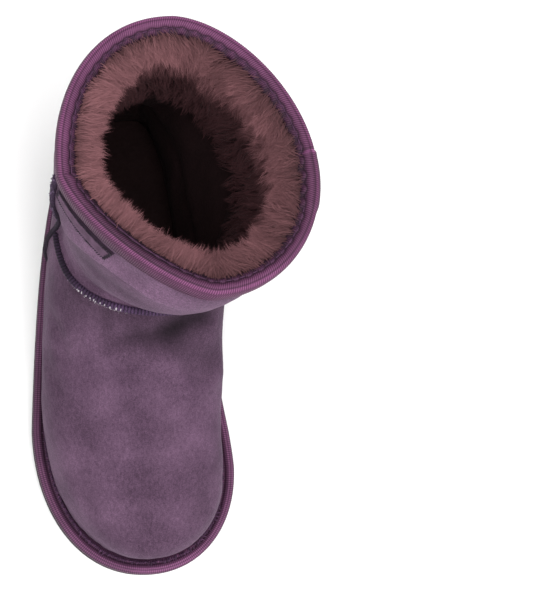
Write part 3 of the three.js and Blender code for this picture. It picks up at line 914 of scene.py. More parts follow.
def mesh_piece(
    name: str, points: Array, faces: Array, material: bpy.types.Material,
    tones: dict[str, Array] | None = None, replaces: tuple[str, ...] = (),
) -> bpy.types.Object:
    """Makes a piece from arrays and lets it ride on the boot.

    Args:
        name: the piece's name.
        points: places in boot millimetres, (n, 3).
        faces: corner numbers, (m, 3) or (m, 4).
        material: its finish.
        tones: values at each point that the finish reads.
        replaces: solids that the piece stands for.

    Returns:
        The new object.
    """
    mesh = bpy.data.meshes.new(name)
    count, corners = faces.shape
    mesh.vertices.add(len(points))
    mesh.vertices.foreach_set("co", place(points).astype(np.float32).ravel())
    mesh.loops.add(count * corners)
    mesh.loops.foreach_set("vertex_index", faces.astype(np.int32).ravel())
    mesh.polygons.add(count)
    mesh.polygons.foreach_set("loop_start", np.arange(0, count * corners, corners, dtype=np.int32))
    mesh.polygons.foreach_set("use_smooth", np.ones(count, bool))
    mesh.update(calc_edges=True)
    for key, values in {"tone": np.ones(len(points)), **(tones or {})}.items():
        layer = mesh.attributes.new(key, "FLOAT", "POINT")
        layer.data.foreach_set("value", np.asarray(values, np.float32).ravel())
    mesh.materials.append(material)
    piece = linked(name, mesh)
    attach(piece, "root")
    if replaces:
        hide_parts(*replaces)
    LOG.info("%s: %d points, %d triangles", name, len(points), count * (corners - 2))
    return piece


def grid_faces(rows: int, columns: int, loop_rows: bool = False, loop_columns: bool = False) -> Array:
    """Quads of a grid whose points are stored row by row.

    Args:
        rows: number of rows.
        columns: number of columns.
        loop_rows: joins the last row to the first.
        loop_columns: joins the last column to the first.

    Returns:
        Corner numbers, (n, 4).
    """
    r = np.arange(rows if loop_rows else rows - 1)
    c = np.arange(columns if loop_columns else columns - 1)
    r, c = np.meshgrid(r, c, indexing="ij")
    r2, c2 = (r + 1) % rows, (c + 1) % columns
    quads = np.stack([r * columns + c, r * columns + c2, r2 * columns + c2, r2 * columns + c], -1)
    return quads.reshape(-1, 4)


def closed_sheet(outer: Array, inner: Array) -> tuple[Array, Array]:
    """Closes two grids of points into one sheet with a rim.

    Args:
        outer: outer face, (rows, columns, 3).
        inner: inner face, (rows, columns, 3).

    Returns:
        Points and quads.
    """
    rows, columns, _ = outer.shape
    size = rows * columns
    front = grid_faces(rows, columns)
    edge = np.concatenate([
        np.arange(columns), (np.arange(1, rows) * columns) + columns - 1,
        (rows - 1) * columns + np.arange(columns - 2, -1, -1), np.arange(rows - 2, 0, -1) * columns,
    ])
    after = np.roll(edge, -1)
    rim = np.stack([after, edge, edge + size, after + size], -1)
    points = np.concatenate([outer.reshape(-1, 3), inner.reshape(-1, 3)])
    return points, np.concatenate([front, front[:, ::-1] + size, rim])


@dataclass(frozen=True)
class Crease:
    """A soft trough (-) or ridge (+) that follows a line on the leather.

    Points are (x, y, z) in boot millimetres. The relief dies out towards both ends. Where under is set,
    it is the width below the line, so that a fold has a soft upper side and a sharp lower edge.
    """

    points: tuple[tuple[float, float, float], ...]
    depth: float
    width: float
    # Painted shade and light: tone darkens the leather along a trough (-) and lightens it along a ridge (+).
    tone: float = 0.0
    under: float = 0.0

    def field(self, places: Array) -> Array:
        """Strength of the crease.

        Args:
            places: places in boot millimetres, (..., 3).

        Returns:
            Strength from 0 to 1 at each place.
        """
        line = np.array(self.points)
        best = np.full(places.shape[:-1], 1e9)
        share = np.zeros(places.shape[:-1])
        below = np.zeros(places.shape[:-1], bool)
        steps = np.linalg.norm(np.diff(line, axis=0), axis=1)
        run = run_length(line)
        for i, (a, b) in enumerate(zip(line[:-1], line[1:])):
            t = np.clip(((places - a) @ (b - a)) / max(float((b - a) @ (b - a)), 1e-6), 0, 1)
            foot = a + t[..., None] * (b - a)
            gap = np.linalg.norm(places - foot, axis=-1)
            nearer = gap < best
            below = np.where(nearer, places[..., 2] < foot[..., 2], below)
            best = np.where(nearer, gap, best)
            share = np.where(nearer, (run[i] + t * steps[i]) / run[-1], share)
        ends = np.clip(np.minimum(share, 1 - share) / 0.28, 0, 1)
        width = np.where(below & (self.under > 0), self.under or self.width, self.width)
        return np.exp(-((best / width) ** 2)) * (0.15 + 0.85 * ends * (2 - ends))


@dataclass
class SuedePanel:
    """One cut piece of suede between its seams, as a closed sheet with real thickness."""

    name: str
    rows: int
    columns: int
    turns: tuple[Side, Side]
    above: bool | None
    creases: tuple[Crease, ...] = ()
    wall: float = S.wall
    # Base tone of the whole panel; above 1 it is painted light over the panel.
    nap: float = 1.0
    replaces: tuple[str, ...] = ("upper",)

    def _turn_table(self, levels: Array) -> Array:
        """Turns of even columns at each level.

        Args:
            levels: heights over the floor.

        Returns:
            Turns, (levels, columns).
        """
        first, last = (FORM.seam_turn(levels, side) for side in self.turns)
        if self.turns[0] is Side.INNER:
            first = first - 1
        share = np.linspace(0, 1, COLUMN_STEPS)
        turn = first[:, None] + (last - first)[:, None] * share
        run = run_length(FORM.face(turn, levels[:, None]), 1)
        even = np.linspace(0, 1, self.columns)
        return np.array([np.interp(even * r[-1], r, t) for r, t in zip(run, turn)])

    def grid(self) -> tuple[Array, Array]:
        """Even grid over the panel.

        Returns:
            Turns and levels, each (rows, columns).
        """
        levels = np.linspace(FORM.foot_level, S.shaft_height - 1.5, LEVEL_STEPS)
        table = self._turn_table(levels)
        low = np.full(self.columns, levels[0])
        high = np.full(self.columns, levels[-1])
        if self.above is not None:
            points = FORM.face(table, levels[:, None])
            over = points[..., 2] - FORM.instep(points[..., 1])
            cut = np.array([np.interp(0.0, over[:, c], levels) for c in range(self.columns)])
            low, high = (cut, high) if self.above else (low, cut)
        dense = low + (high - low) * np.linspace(0, 1, DENSE_STEPS)[:, None]
        turn = np.stack([np.interp(dense[:, c], levels, table[:, c]) for c in range(self.columns)], 1)
        run = run_length(FORM.face(turn, dense))
        even = np.linspace(0, 1, self.rows)
        across = range(self.columns)
        level = np.stack([np.interp(even * run[-1, c], run[:, c], dense[:, c]) for c in across], 1)
        turn = np.stack([np.interp(level[:, c], levels, table[:, c]) for c in across], 1)
        return turn, level

    def _seam_gap(self, points: Array) -> Array:
        """Distance to the panel's nearest seam.

        Args:
            points: the panel's grid, (rows, columns, 3).

        Returns:
            The distance at each point.
        """
        across, up = run_length(points, 1), run_length(points)
        gap = np.minimum(across, across[:, -1:] - across)
        if self.above is True:
            gap = np.minimum(gap, up)
        if self.above is False:
            gap = np.minimum(gap, up[-1:] - up)
        return gap

    def relief(self, points: Array) -> tuple[Array, Array]:
        """Relief of the leather's surface.

        Args:
            points: the panel's grid, (rows, columns, 3).

        Returns:
            Height and tone at each point.
        """
        height = 0.55 * soft_noise(points, 26.0, 3) + 0.28 * soft_noise(points, 11.0, 5)
        height = height + 0.1 * soft_noise(points, 4.5, 8)
        tone = self.nap + 0.05 * soft_noise(points, 30.0, 11) + 0.04 * soft_noise(points, 9.0, 12)
        gap = self._seam_gap(points)
        height = height * smooth(0, 9, gap)
        height += 1.3 * np.exp(-((gap / 1.7) ** 2)) - 0.6 * np.exp(-(((gap - 4.6) / 2.4) ** 2))
        # Painted shade beside the raised seams, together with a darker dyed cut edge.
        tone -= 0.2 * np.exp(-((gap / 2.2) ** 2))
        for crease in self.creases:
            strength = crease.field(points)
            height += crease.depth * strength
            # Painted shade in the troughs and painted light on the ridges, from the crease's tone or else the
            # sign of its depth.
            tone += (crease.tone or 0.06 * np.sign(crease.depth)) * strength
        foot = points[..., 2] - FORM.deck(points[..., 1]) - FORM.foot_level
        # Painted shade at the foot of the upper, where it meets the welt, together with a darker dyed edge.
        tone -= 0.3 * np.exp(-((np.maximum(foot, 0) / 3.4) ** 2))
        height -= 2.1 * (1 - smooth(8, 60, points[..., 1])) * np.exp(-(((foot - 8) / 12) ** 2))
        nibbled = 0.5 + 0.5 * soft_noise(points, 2.4, 14)
        height += nibbled * np.exp(-((np.maximum(foot - 3.2, 0) / 1.6) ** 2)) * 0.9
        return height, tone

    def build(self, material: bpy.types.Material) -> bpy.types.Object:
        """Builds the panel's mesh.

        Args:
            material: the suede.

        Returns:
            The panel.
        """
        turn, level = self.grid()
        base, normal = FORM.face(turn, level), FORM.normal(turn, level)
        height, tone = self.relief(base)
        height = np.where(height < -2.0, -2.0 - 1.6 * np.tanh((-2.0 - height) / 1.6), height)
        outer = base + normal * height[..., None]
        inner = base + normal * (np.minimum(height, 0.6) - self.wall)[..., None]
        points, faces = closed_sheet(outer, inner)
        tones = np.concatenate([tone.ravel(), np.full(turn.size, 0.7)])
        return mesh_piece(self.name, points, faces, material, {"tone": tones}, self.replaces)


@dataclass
class Upper:
    """The suede upper: vamp, shaft front and back, which meet at the raised seams."""

    finish: SuedeFinish = field(default_factory=SuedeFinish)
    # Painted light and shade on the shaft: the ridge tones lighten its front broadly, and the trough tones
    # darken it.
    shaft_creases: tuple[Crease, ...] = (
        Crease(((-44, 170, 108), (-41, 164, 116), (-37, 157, 126), (-31, 150, 131), (-24, 145, 134),
                (-18, 139, 135), (-12, 135, 135), (-6, 131, 135), (1, 128, 134), (12, 124, 132)),
                1.9, 8.0, 0.3, 1.3),
        Crease(((-44, 172, 98), (-40, 164, 103), (-37, 154, 112), (-30, 147, 117), (-23, 140, 119),
                (-17, 135, 119), (-10, 131, 118), (0, 127, 115), (12, 125, 112)), -1.9, 9.0, -0.26),
        Crease(((-12, 134, 146), (0, 128, 142), (14, 123, 139), (28, 122, 138), (40, 126, 140)),
                0.9, 12.0, 0.42),
        Crease(((-46, 176, 128), (-40, 160, 136), (-30, 149, 141), (-18, 138, 143)), 0.4, 6.0, 0.14),
        Crease(((30, 122, 128), (44, 130, 122), (54, 146, 116), (56, 166, 112)), -1.3, 7.0),
        Crease(((34, 124, 112), (46, 134, 106), (52, 152, 102)), 1.0, 6.5),
        Crease(((-12, 138, 156), (4, 130, 152), (20, 124, 150), (38, 125, 152)), -0.7, 4.0, 0.02),
    )
    # Painted shade in the vamp's troughs, deepest under the shaft's overhang, and painted light on its
    # ridges.
    vamp_creases: tuple[Crease, ...] = (
        Crease(((-24, 113, 75), (-19, 114, 76), (-13, 115, 78), (-7, 117, 80), (0, 116, 80), (6, 117, 81),
                (13, 120, 82), (20, 123, 82), (28, 125, 81), (36, 126, 75)), -2.4, 6.5, -0.44),
        Crease(((4, 110, 77), (15, 112, 77), (22, 108, 74), (30, 107, 68), (36, 112, 62)),
                -1.8, 9.5, -0.36),
        Crease(((0, 104, 74), (10, 105, 75), (15, 99, 72), (20, 93, 68), (26, 90, 65), (33, 94, 62),
                (39, 104, 57)), 1.8, 4.4, 0.14),
        Crease(((-20, 121, 80), (-12, 121, 82), (-4, 120, 82), (4, 119, 82)), 0.6, 4.5, 0.12),
        Crease(((-23, 132, 84), (-23, 124, 80), (-24, 117, 76), (-23, 108, 72)), -1.2, 4.0, -0.17),
        Crease(((-34, 124, 74), (-30, 115, 73), (-25, 108, 72), (-17, 106, 73), (-8, 108, 75)),
                1.2, 5.0, 0.08),
        Crease(((-21, 110, 74), (-15, 110, 76), (-9, 111, 77), (-2, 110, 77)), 0.7, 3.0, 0.08),
        Crease(((-18, 106, 75), (-6, 104, 76), (6, 106, 77)), -0.2, 9.0, -0.12),
        Crease(((-52, 140, 54), (-47, 127, 62), (-44, 117, 63), (-41, 106, 62)), -1.3, 4.5, -0.12),
        Crease(((-52, 118, 48), (-49, 104, 53), (-44, 92, 55)), -0.9, 5.0, -0.1),
        Crease(((-40, 82, 53), (-30, 75, 58), (-24, 70, 59)), -0.5, 8.0, -0.12),
        Crease(((-14, 90, 68), (-12, 78, 64)), -0.4, 6.0, -0.06),
        Crease(((6, 76, 64), (13, 70, 62), (14, 62, 58)), -0.5, 6.0, -0.09),
        Crease(((-20, 42, 51), (-8, 40, 52), (-2, 39, 52), (10, 41, 52)), -0.4, 2.5, -0.1),
        Crease(((-16, 50, 54), (-4, 48, 55), (8, 50, 55)), -0.4, 7.0, -0.12),
        Crease(((-38, 56, 47), (-32, 44, 47), (-25, 32, 45)), -0.4, 7.0, -0.1),
        Crease(((26, 46, 49), (28, 33, 44), (20, 24, 43)), -0.5, 6.0, -0.12),
        Crease(((22, 84, 64), (26, 71, 58), (30, 60, 52), (28, 50, 50)), 0.6, 9.0, 0.1),
        # Painted shadow of the overhanging shaft across the instep, over only a slight trough.
        Crease(((-44, 142, 66), (-30, 137, 78), (-14, 128, 86), (4, 123, 87), (22, 125, 86),
                (38, 130, 82), (44, 142, 74)), -0.5, 13.0, -0.36),
    )
    back_creases: tuple[Crease, ...] = (
        Crease(((-44, 196, 100), (-38, 222, 97), (-22, 244, 95), (0, 250, 94), (24, 244, 95),
                (40, 226, 98), (47, 200, 100)), -1.7, 8.0),
        Crease(((-46, 198, 118), (-36, 232, 116), (-12, 251, 114), (16, 251, 114), (44, 232, 117),
                (56, 204, 120)), 1.3, 9.0),
        Crease(((-44, 184, 76), (-42, 206, 78), (-34, 230, 80)), -0.9, 7.0),
        Crease(((44, 184, 78), (42, 208, 80), (32, 234, 82)), -0.9, 7.0),
        Crease(((-20, 252, 60), (0, 255, 58), (20, 252, 60)), -0.5, 9.0),
        Crease(((-45, 192, 134), (-30, 236, 132), (-10, 252, 130)), -0.7, 8.0),
    )

    def build(self) -> None:
        """Builds the three panels."""
        suede = self.finish.material()
        k = 1.0
        side, back = (Side.OUTER, Side.INNER), (Side.INNER, Side.OUTER)
        for panel in (
            SuedePanel("vamp", int(112 * k), int(190 * k), side, False, self.vamp_creases),
            # The shaft's front is toned lighter as painted light, where the light falls on it.
            SuedePanel("shaft_front", int(80 * k), int(170 * k), side, True, self.shaft_creases, nap=1.07),
            SuedePanel("shaft_back", int(92 * k), int(132 * k), back, None, self.back_creases),
        ):
            panel.build(suede)


def swept(centres: Array, across: Array, up: Array, ring: Array) -> Array:
    """Rings of a section carried along a line.

    Args:
        centres: the line, (n, 3).
        across: sideways directions, (n, 3).
        up: outward directions, (n, 3).
        ring: (sideways, outward) offsets at each station, (n, around, 2).

    Returns:
        Points (n, around, 3).
    """
    return centres[:, None] + across[:, None] * ring[..., :1] + up[:, None] * ring[..., 1:]


def capped(rings: Array) -> tuple[Array, Array]:
    """Closes both ends of a run of rings with a point.

    Args:
        rings: points (n, around, 3).

    Returns:
        Points and triangles.
    """
    n, around, _ = rings.shape
    tips = [rings[0].mean(0, keepdims=True), rings[-1].mean(0, keepdims=True)]
    points = np.concatenate([rings.reshape(-1, 3), *tips])
    faces = grid_faces(n, around, loop_columns=True)
    i = np.arange(around)
    j, end = (i + 1) % around, (n - 1) * around
    first = np.stack([np.full(around, n * around), j, i], -1)
    last = np.stack([np.full(around, n * around + 1), end + i, end + j], -1)
    return points, np.concatenate([faces[:, [0, 1, 2]], faces[:, [0, 2, 3]], first, last])


@dataclass
class RaisedSeam:
    """Two suede edges that stand up together, bound by close stitches."""

    name: str
    line: Callable[[Array], tuple[Array, Array]]
    node: str
    pitch: float = 1.7
    width: float = 3.9
    height: float = S.seam_height
    # Painted shade and light: tone of the bead at the start and at the end of the seam.
    tones: tuple[float, float] = (1.0, 1.0)
    edge_until: float = 1.2
    slimmer: float = 0.0
    sides: int = 14

    def _frame(self) -> tuple[Array, Array, Array, Array]:
        """Stations along the seam.

        Returns:
            Points, sideways and outward directions, and the distance run.
        """
        turn, level = self.line(np.linspace(0, 1, 400))
        points = FORM.face(turn, level)
        run = run_length(points)
        stations = np.arange(0, run[-1], self.pitch / 6)
        turn, level = np.interp(stations, run, turn), np.interp(stations, run, level)
        points, normal = FORM.face(turn, level), FORM.normal(turn, level)
        along = unit(np.gradient(points, axis=0))
        return points, unit(np.cross(normal, along)), normal, stations

    def build(self, thread: bpy.types.Material, edge: bpy.types.Material) -> None:
        """Builds the stitched bead and the cut edge beside it.

        Args:
            thread: finish of the stitches.
            edge: finish of the cut edge.
        """
        points, across, normal, stations = self._frame()
        share = stations / stations[-1]
        angle = np.linspace(0, 2 * np.pi, self.sides, endpoint=False)
        phase = (stations / self.pitch) % 1
        stitch = np.sqrt(np.clip(1 - (2 * phase - 1) ** 2, 0, 1))
        wobble = 0.12 * np.sin(stations * 0.9) + 0.1 * np.sin(stations * 2.3 + 1)
        ends = np.clip(np.minimum(stations, stations[-1] - stations) / 2.0, 0.25, 1)
        narrow = 1 - self.slimmer * smooth(0.3, 0.5, share)
        half = (0.5 * self.width * narrow * (0.76 + 0.24 * stitch + 0.1 * wobble))[:, None] * ends[:, None]
        tall = (0.5 * self.height * (0.8 + 0.2 * stitch))[:, None] * ends[:, None]
        bead = np.stack([np.cos(angle) * half, np.sin(angle) * tall + 0.3 * self.height], -1)
        verts, faces = capped(swept(points, across, normal, bead))
        # Painted shade and light along the bead, darker where the shaft's overhang shades it, with a painted
        # highlight on each stitch's crown and shade between stitches.
        ramp = self.tones[0] + (self.tones[1] - self.tones[0]) * smooth(0.12, 0.42, share)
        lit = np.repeat((0.3 + 0.95 * stitch**2) * ramp, self.sides)
        tone = np.concatenate([lit, [1, 1]])
        mesh_piece(self.name, verts, faces, thread, {"tone": tone}, (self.node,))

        ring = np.array([(0.0, -0.4), (0.55, 0.1), (0.62, 0.9), (0.3, 1.35), (-0.2, 1.2), (-0.4, 0.2)])
        fade = 1 - 0.85 * smooth(self.edge_until - 0.12, self.edge_until, share)
        ragged = 0.85 + 0.18 * np.sin(stations * 1.7) + 0.12 * np.sin(stations * 4.1)
        scale = (ragged * fade * ends)[:, None, None]
        strip = 1.15 * ring[None] * scale + np.array([-0.57 * self.width, 0.15])
        verts, faces = capped(swept(points, across, normal, strip))
        mesh_piece(self.name + "_edge", verts, faces, edge)


@dataclass
class Seams:
    """The two side seams and the instep seam, with wool that shows between the stitches."""

    foot_level: float = 13.5
    top_level: float = S.shaft_height - S.tape_leg + 0.5

    def _side(self, side: Side) -> Callable[[Array], tuple[Array, Array]]:
        """Line of a side seam from the tape to the welt.

        Args:
            side: which side seam.

        Returns:
            A function from shares of the way down to turns and levels.
        """

        def line(share: Array) -> tuple[Array, Array]:
            """Turns and levels along the seam."""
            level = self.top_level + (self.foot_level - self.top_level) * share
            return FORM.seam_turn(level, side), level

        return line

    def _instep(self, share: Array) -> tuple[Array, Array]:
        """Line of the instep seam, outer side first.

        Args:
            share: shares of the way along it.

        Returns:
            Turns and levels.
        """
        levels = np.linspace(55, 100, 90)
        first, last = FORM.seam_turn(levels, Side.OUTER), FORM.seam_turn(levels, Side.INNER)
        s = 0.004 + 0.992 * np.asarray(share)
        table = first[:, None] + (last - first)[:, None] * s
        points = FORM.face(table, levels[:, None])
        over = points[..., 2] - FORM.instep(points[..., 1])
        level = np.array([np.interp(0.0, over[:, c], levels) for c in range(len(s))])
        turn = np.array([np.interp(level[c], levels, table[:, c]) for c in range(len(s))])
        return turn, level

    def build(self) -> None:
        """Builds the seams and the wool in them."""
        thread = ThreadFinish("seam_thread", (0.012, 0.006, 0.014), (0.07, 0.036, 0.085), 0.75).material()
        edge = ThreadFinish("cut_suede_edge", (0.07, 0.045, 0.075), (0.22, 0.165, 0.23), 0.9).material()
        for seam in (
            RaisedSeam("seam_outer_stitches", self._side(Side.OUTER), "seam_outer",
                       tones=(1.0, 0.4), edge_until=0.4, slimmer=0.25),
            RaisedSeam("seam_inner_stitches", self._side(Side.INNER), "seam_inner",
                       tones=(1.0, 0.6), slimmer=0.15),
            RaisedSeam("seam_instep_stitches", self._instep, "seam_instep", tones=(0.5, 1.3), edge_until=0.3),
        ):
            seam.build(thread, edge)
        self._loops()
        self._wool()

    def _loops(self) -> None:
        """Loose loops of thread at the top of the outer seam."""
        rng = np.random.default_rng(57)
        count = 90
        turn, level = self._side(Side.OUTER)(rng.uniform(0.0, 0.46, count))
        base, normal = FORM.grown(turn, level, np.full(count, 2.2)), FORM.normal(turn, level)
        along = np.array([[0.0, 0.0, -1.0]]) * np.ones((count, 1))
        across = unit(np.cross(normal, along))
        side = rng.uniform(-1.5, 1.5, (count, 1))
        lean = unit(normal * rng.uniform(0.2, 0.9, (count, 1)) + across * rng.normal(0, 0.9, (count, 1))
                    + along * rng.normal(0, 0.9, (count, 1)))
        start = base + across * side - normal * 0.25 * np.abs(side)
        tips = start + lean * rng.uniform(0.9, 1.9, (count, 1))
        verts, faces = capsules(start, tips, rng.uniform(0.2, 0.34, count))
        tone = np.repeat(rng.uniform(0.7, 1.5, count), len(verts) // count)
        loose = ThreadFinish("loose_thread", (0.035, 0.02, 0.045), (0.17, 0.12, 0.19), 0.8).material()
        mesh_piece("seam_loops", verts, faces, loose, {"tone": tone})

    def _wool(self) -> None:
        """Wisps of wool that the stitches have caught."""
        rng = np.random.default_rng(41)
        count = 190
        share = np.clip(rng.normal(0.27, 0.06, count), 0.14, 0.5)
        turn, level = self._instep(share)
        root, normal = FORM.grown(turn, level, np.full(count, 1.2)), FORM.normal(turn, level)
        along = unit(FORM.face(turn + TURN_STEP, level) - root)
        across = unit(np.cross(normal, along))
        side = rng.uniform(-1.6, 0.2, count)[:, None]
        base = root + across * side
        lean = unit(normal * rng.uniform(0.2, 1, (count, 1)) + across * rng.uniform(-1.2, 0.3, (count, 1))
                    + along * rng.normal(0, 0.8, (count, 1)))
        length = rng.uniform(0.8, 2.2, (count, 1))
        curl = unit(np.cross(lean, rng.normal(0, 1, (count, 3))))
        middle = base + lean * length * 0.5 + curl * 0.25 * length
        spines = np.stack([base, middle, base + lean * length * 0.8 + curl * 0.6 * length], 1)
        verts, faces, tone = ribbons(spines, np.full(count, 0.16), curl, np.full(count, 1.0), (0.7, 1.0))
        wool = PileFinish("caught_wool", (0.22, 0.19, 0.22), (0.5, 0.47, 0.51), 0.3).material()
        mesh_piece("caught_wool", verts, faces, wool, {"tone": tone})
        knots = 13
        turn, level = self._instep(np.linspace(0.19, 0.36, knots) + rng.normal(0, 0.004, knots))
        foot, normal = FORM.face(turn, level), FORM.normal(turn, level)
        along = unit(np.gradient(foot, axis=0))
        across = unit(np.cross(normal, along))
        shift = along * rng.normal(0, 0.3, (knots, 1))
        side, half = -rng.uniform(0.1, 1.0, (knots, 1)), rng.uniform(0.3, 0.8, (knots, 1))

        def over_bead(offset: Array) -> Array:
            """Places on the seam's bead at sideways offsets."""
            drop = np.sqrt(np.clip(1 - (offset / (0.5 * RaisedSeam.width)) ** 2, 0, 1))
            return foot + shift + across * offset + normal * S.seam_height * (0.3 + 0.47 * drop)

        verts, faces = capsules(over_bead(side - half), over_bead(side + half), rng.uniform(0.3, 0.5, knots))
        bright = rng.uniform(0.25, 0.75, knots) * np.linspace(1.1, 0.6, knots)
        tone = np.repeat(bright, len(verts) // knots)
        mesh_piece("wool_knots", verts, faces, wool, {"tone": tone})


def ribbons(
    spines: Array, width: Array, face: Array, bright: Array, tones: tuple[float, float],
) -> tuple[Array, Array, Array]:
    """Fine tapering ribbons, one for each hair.

    Args:
        spines: points along each hair, (hairs, stations, 3).
        width: width at the root.
        face: direction that each ribbon faces.
        bright: brightness of each hair.
        tones: tone at the root and at the tip.

    Returns:
        Points, triangles and the tone at each point.
    """
    hairs, stations, _ = spines.shape
    along = unit(np.gradient(spines, axis=1))
    side = unit(np.cross(along, face[:, None]))
    s = np.linspace(0, 1, stations)
    half = 0.5 * width[:, None] * (1 - 0.72 * s**1.5)[None]
    left, right = spines - side * half[..., None], spines + side * half[..., None]
    body = np.stack([left[:, :-1], right[:, :-1]], 2).reshape(hairs, -1, 3)
    points = np.concatenate([body, spines[:, -1:]], 1)
    per = 2 * (stations - 1) + 1
    faces = []
    for k in range(stations - 2):
        a = 2 * k
        faces += [(a, a + 1, a + 3), (a, a + 3, a + 2)]
    faces.append((per - 3, per - 2, per - 1))
    faces = np.array(faces)[None] + (np.arange(hairs) * per)[:, None, None]
    # Painted shade: each hair runs from its darker root tone, where the other hairs shade it, to its tip
    # tone.
    ramp = tones[0] + (tones[1] - tones[0]) * s
    tone = np.concatenate([np.repeat(ramp[:-1], 2), ramp[-1:]])[None] * bright[:, None]
    return points.reshape(-1, 3), faces.reshape(-1, 3), tone.ravel()


class PileZone(Enum):
    """Where a part of the pile grows."""

    LIP = "pile_lip"
    EDGE = "pile_edge"
    WALL = "pile_wall"


@dataclass
class Pile:
    """Deep wool pile: a fleece that follows the lining and locks of fine hairs on it."""

    root_path: tuple[tuple[float, float], ...] = (
        (-6.6, 158.8), (-7.6, 160.0), (-8.8, 159.8), (-10.2, 157.4), (-11.0, 152.0),
        (-11.5, 146.0), (-11.5, 132.0), (-11.0, 115.0), (-10.0, 98.0))
    seed: int = 7

    def _path(self, t: Array) -> tuple[Array, Array]:
        """Roots of the pile.

        Args:
            t: shares of the way down from the tape.

        Returns:
            Growth and level of the roots.
        """
        path = np.array(self.root_path)
        run = run_length(path)
        return np.interp(t * run[-1], run, path[:, 0]), np.interp(t * run[-1], run, path[:, 1])

    def _locks(
        self, zone: PileZone, locks: int, hairs: int, span: tuple[float, float], length: float,
        width: float, material: bpy.types.Material,
    ) -> None:
        """Grows one zone of locks.

        Args:
            zone: which part of the pile it is.
            locks: number of locks.
            hairs: hairs in each lock.
            span: shares of the root path that the zone covers.
            length: length of its hairs.
            width: width of a hair at its root.
            material: the pile's finish.
        """
        rng = np.random.default_rng(self.seed + len(zone.value))
        turns, _ = even_turns(partial(FORM.level_outline, 155.0, -12.0), 2000)
        spot = (np.arange(locks) * GOLDEN + rng.uniform(0, 0.01, locks)) % 1
        turn = np.interp(spot, np.arange(2000) / 2000, turns)
        t = span[0] + (span[1] - span[0]) * ((np.arange(locks) + rng.uniform(0, 1, locks)) / locks)
        rng.shuffle(t)
        growth, level = self._path(t)
        root = FORM.grown(turn, level, growth)
        out = FORM.normal(turn, np.full(locks, S.shaft_height))
        out[:, 2] = 0
        inward, up = -unit(out), np.array([0.0, 0.0, 1.0])
        sideways = np.cross(inward, up)
        deep = smooth(0.0, 0.42, t)[:, None]
        sway = 1.05 * soft_noise(root, 13.0, 21)[:, None] + rng.normal(0, 0.2, (locks, 1))
        lift = rng.normal(0, 0.1, (locks, 1)) + 0.12 * soft_noise(root, 9.0, 22)[:, None]
        start = unit(inward * (0.62 + 0.3 * deep) + up * (0.95 - 1.05 * deep + lift) + sideways * 0.5 * sway)
        finish = unit(inward * (1.0 - 0.25 * deep) + up * (0.1 - 0.95 * deep + lift) + sideways * 1.3 * sway)
        front = np.exp(-(((turn - 0.36) / 0.09) ** 2))[:, None]
        uneven = rng.uniform(0.8, 1.12, (locks, 1)) * (1 + 0.14 * soft_noise(root, 8.0, 23)[:, None])
        reach = length * (1 - 0.27 * front) * uneven

        total = locks * hairs
        pick = np.repeat(np.arange(locks), hairs)
        spread = rng.normal(0, 1.0, (total, 3))
        curl = rng.normal(0, 1.0, (total, 3))
        own = rng.uniform(0.7, 1.12, (total, 1))
        base = root[pick] + spread * 1.4
        tip_spread = spread * 0.55 + curl * 0.6
        middle = base + start[pick] * reach[pick] * own * 0.52
        tip = root[pick] + start[pick] * reach[pick] * own * 0.5
        tip = tip + finish[pick] * reach[pick] * own * 0.52 + tip_spread
        s = np.array([0.0, 0.36, 0.7, 1.0])[None, :, None]
        spine = (1 - s) ** 2 * base[:, None] + 2 * s * (1 - s) * middle[:, None] + s**2 * tip[:, None]
        wave = soft_noise(root, 5.0, 26)[pick][:, None, None] * np.array([0.0, 0.9, -0.7, 0.5])[None, :, None]
        spine = spine + sideways[pick][:, None] * wave
        facing = unit(up * (1 - 0.75 * deep[pick]) + inward[pick] * (0.15 + 0.8 * deep[pick])
                      + 0.3 * rng.normal(0, 1, (total, 3)))
        bright = rng.uniform(0.74, 1.16, locks) * (1 + 0.4 * soft_noise(root, 7.0, 24))
        bright = bright[pick] * rng.uniform(0.86, 1.12, total)
        # Painted light on the locks at the outer side, which faces the light, and painted shadow of the tape
        # over the locks close under it elsewhere.
        lit_outer_side = np.exp(-(((turn - 0.2) / 0.16) ** 2))
        tape_shadow = 1 - 0.3 * (1 - smooth(0.02, 0.09, t)) * (1 - lit_outer_side)
        bright = bright * ((0.9 + 0.72 * lit_outer_side) * tape_shadow)[pick]
        # Painted shade: the pile darkens to nearly black as it runs down into the shaft.
        fade = 1 - 0.965 * smooth(0.15, 0.31, t)[pick]
        widths = width * rng.uniform(0.7, 1.2, total)
        verts, faces, tone = ribbons(spine, widths, facing, bright * fade, (0.4, 1.0))
        mesh_piece(zone.value, verts, faces, material, {"tone": tone})

    def _fleece(self) -> None:
        """The lining's own surface under the hairs, from the tape to the insole."""
        columns = 240
        path = [(-5.0, 158.0), (-6.0, 159.6), (-7.6, 159.6), (-9.4, 157.0), (-10.8, 152.0)]
        path += [(-11.3, level) for level in np.linspace(144, 60, 24)]
        path += [(-9.6, level) for level in np.linspace(56, 20, 12)]
        lining_rows = len(path) - 1
        path += [(-4.6, 20.0), (-6.6, 30.0)]
        path += [(-7.4, level) for level in np.linspace(38, 140, 24)]
        path += [(-4.6, 150.0)]
        path = np.array(path)
        turn = np.arange(columns) / columns
        spot = np.stack(np.broadcast_arrays(turn[None] * 140, path[:, 1:] * 0.35, path[:, :1]), -1)
        lumps = 0.9 * soft_noise(spot, 1.0, 31)
        lumps = lumps + 1.6 * soft_noise(spot, 4.0, 32) * (1 - smooth(70, 120, path[:, 1:]))
        growth = path[:, :1] + lumps * (np.arange(len(path))[:, None] < lining_rows)
        points = FORM.grown(turn[None], path[:, 1:], growth)
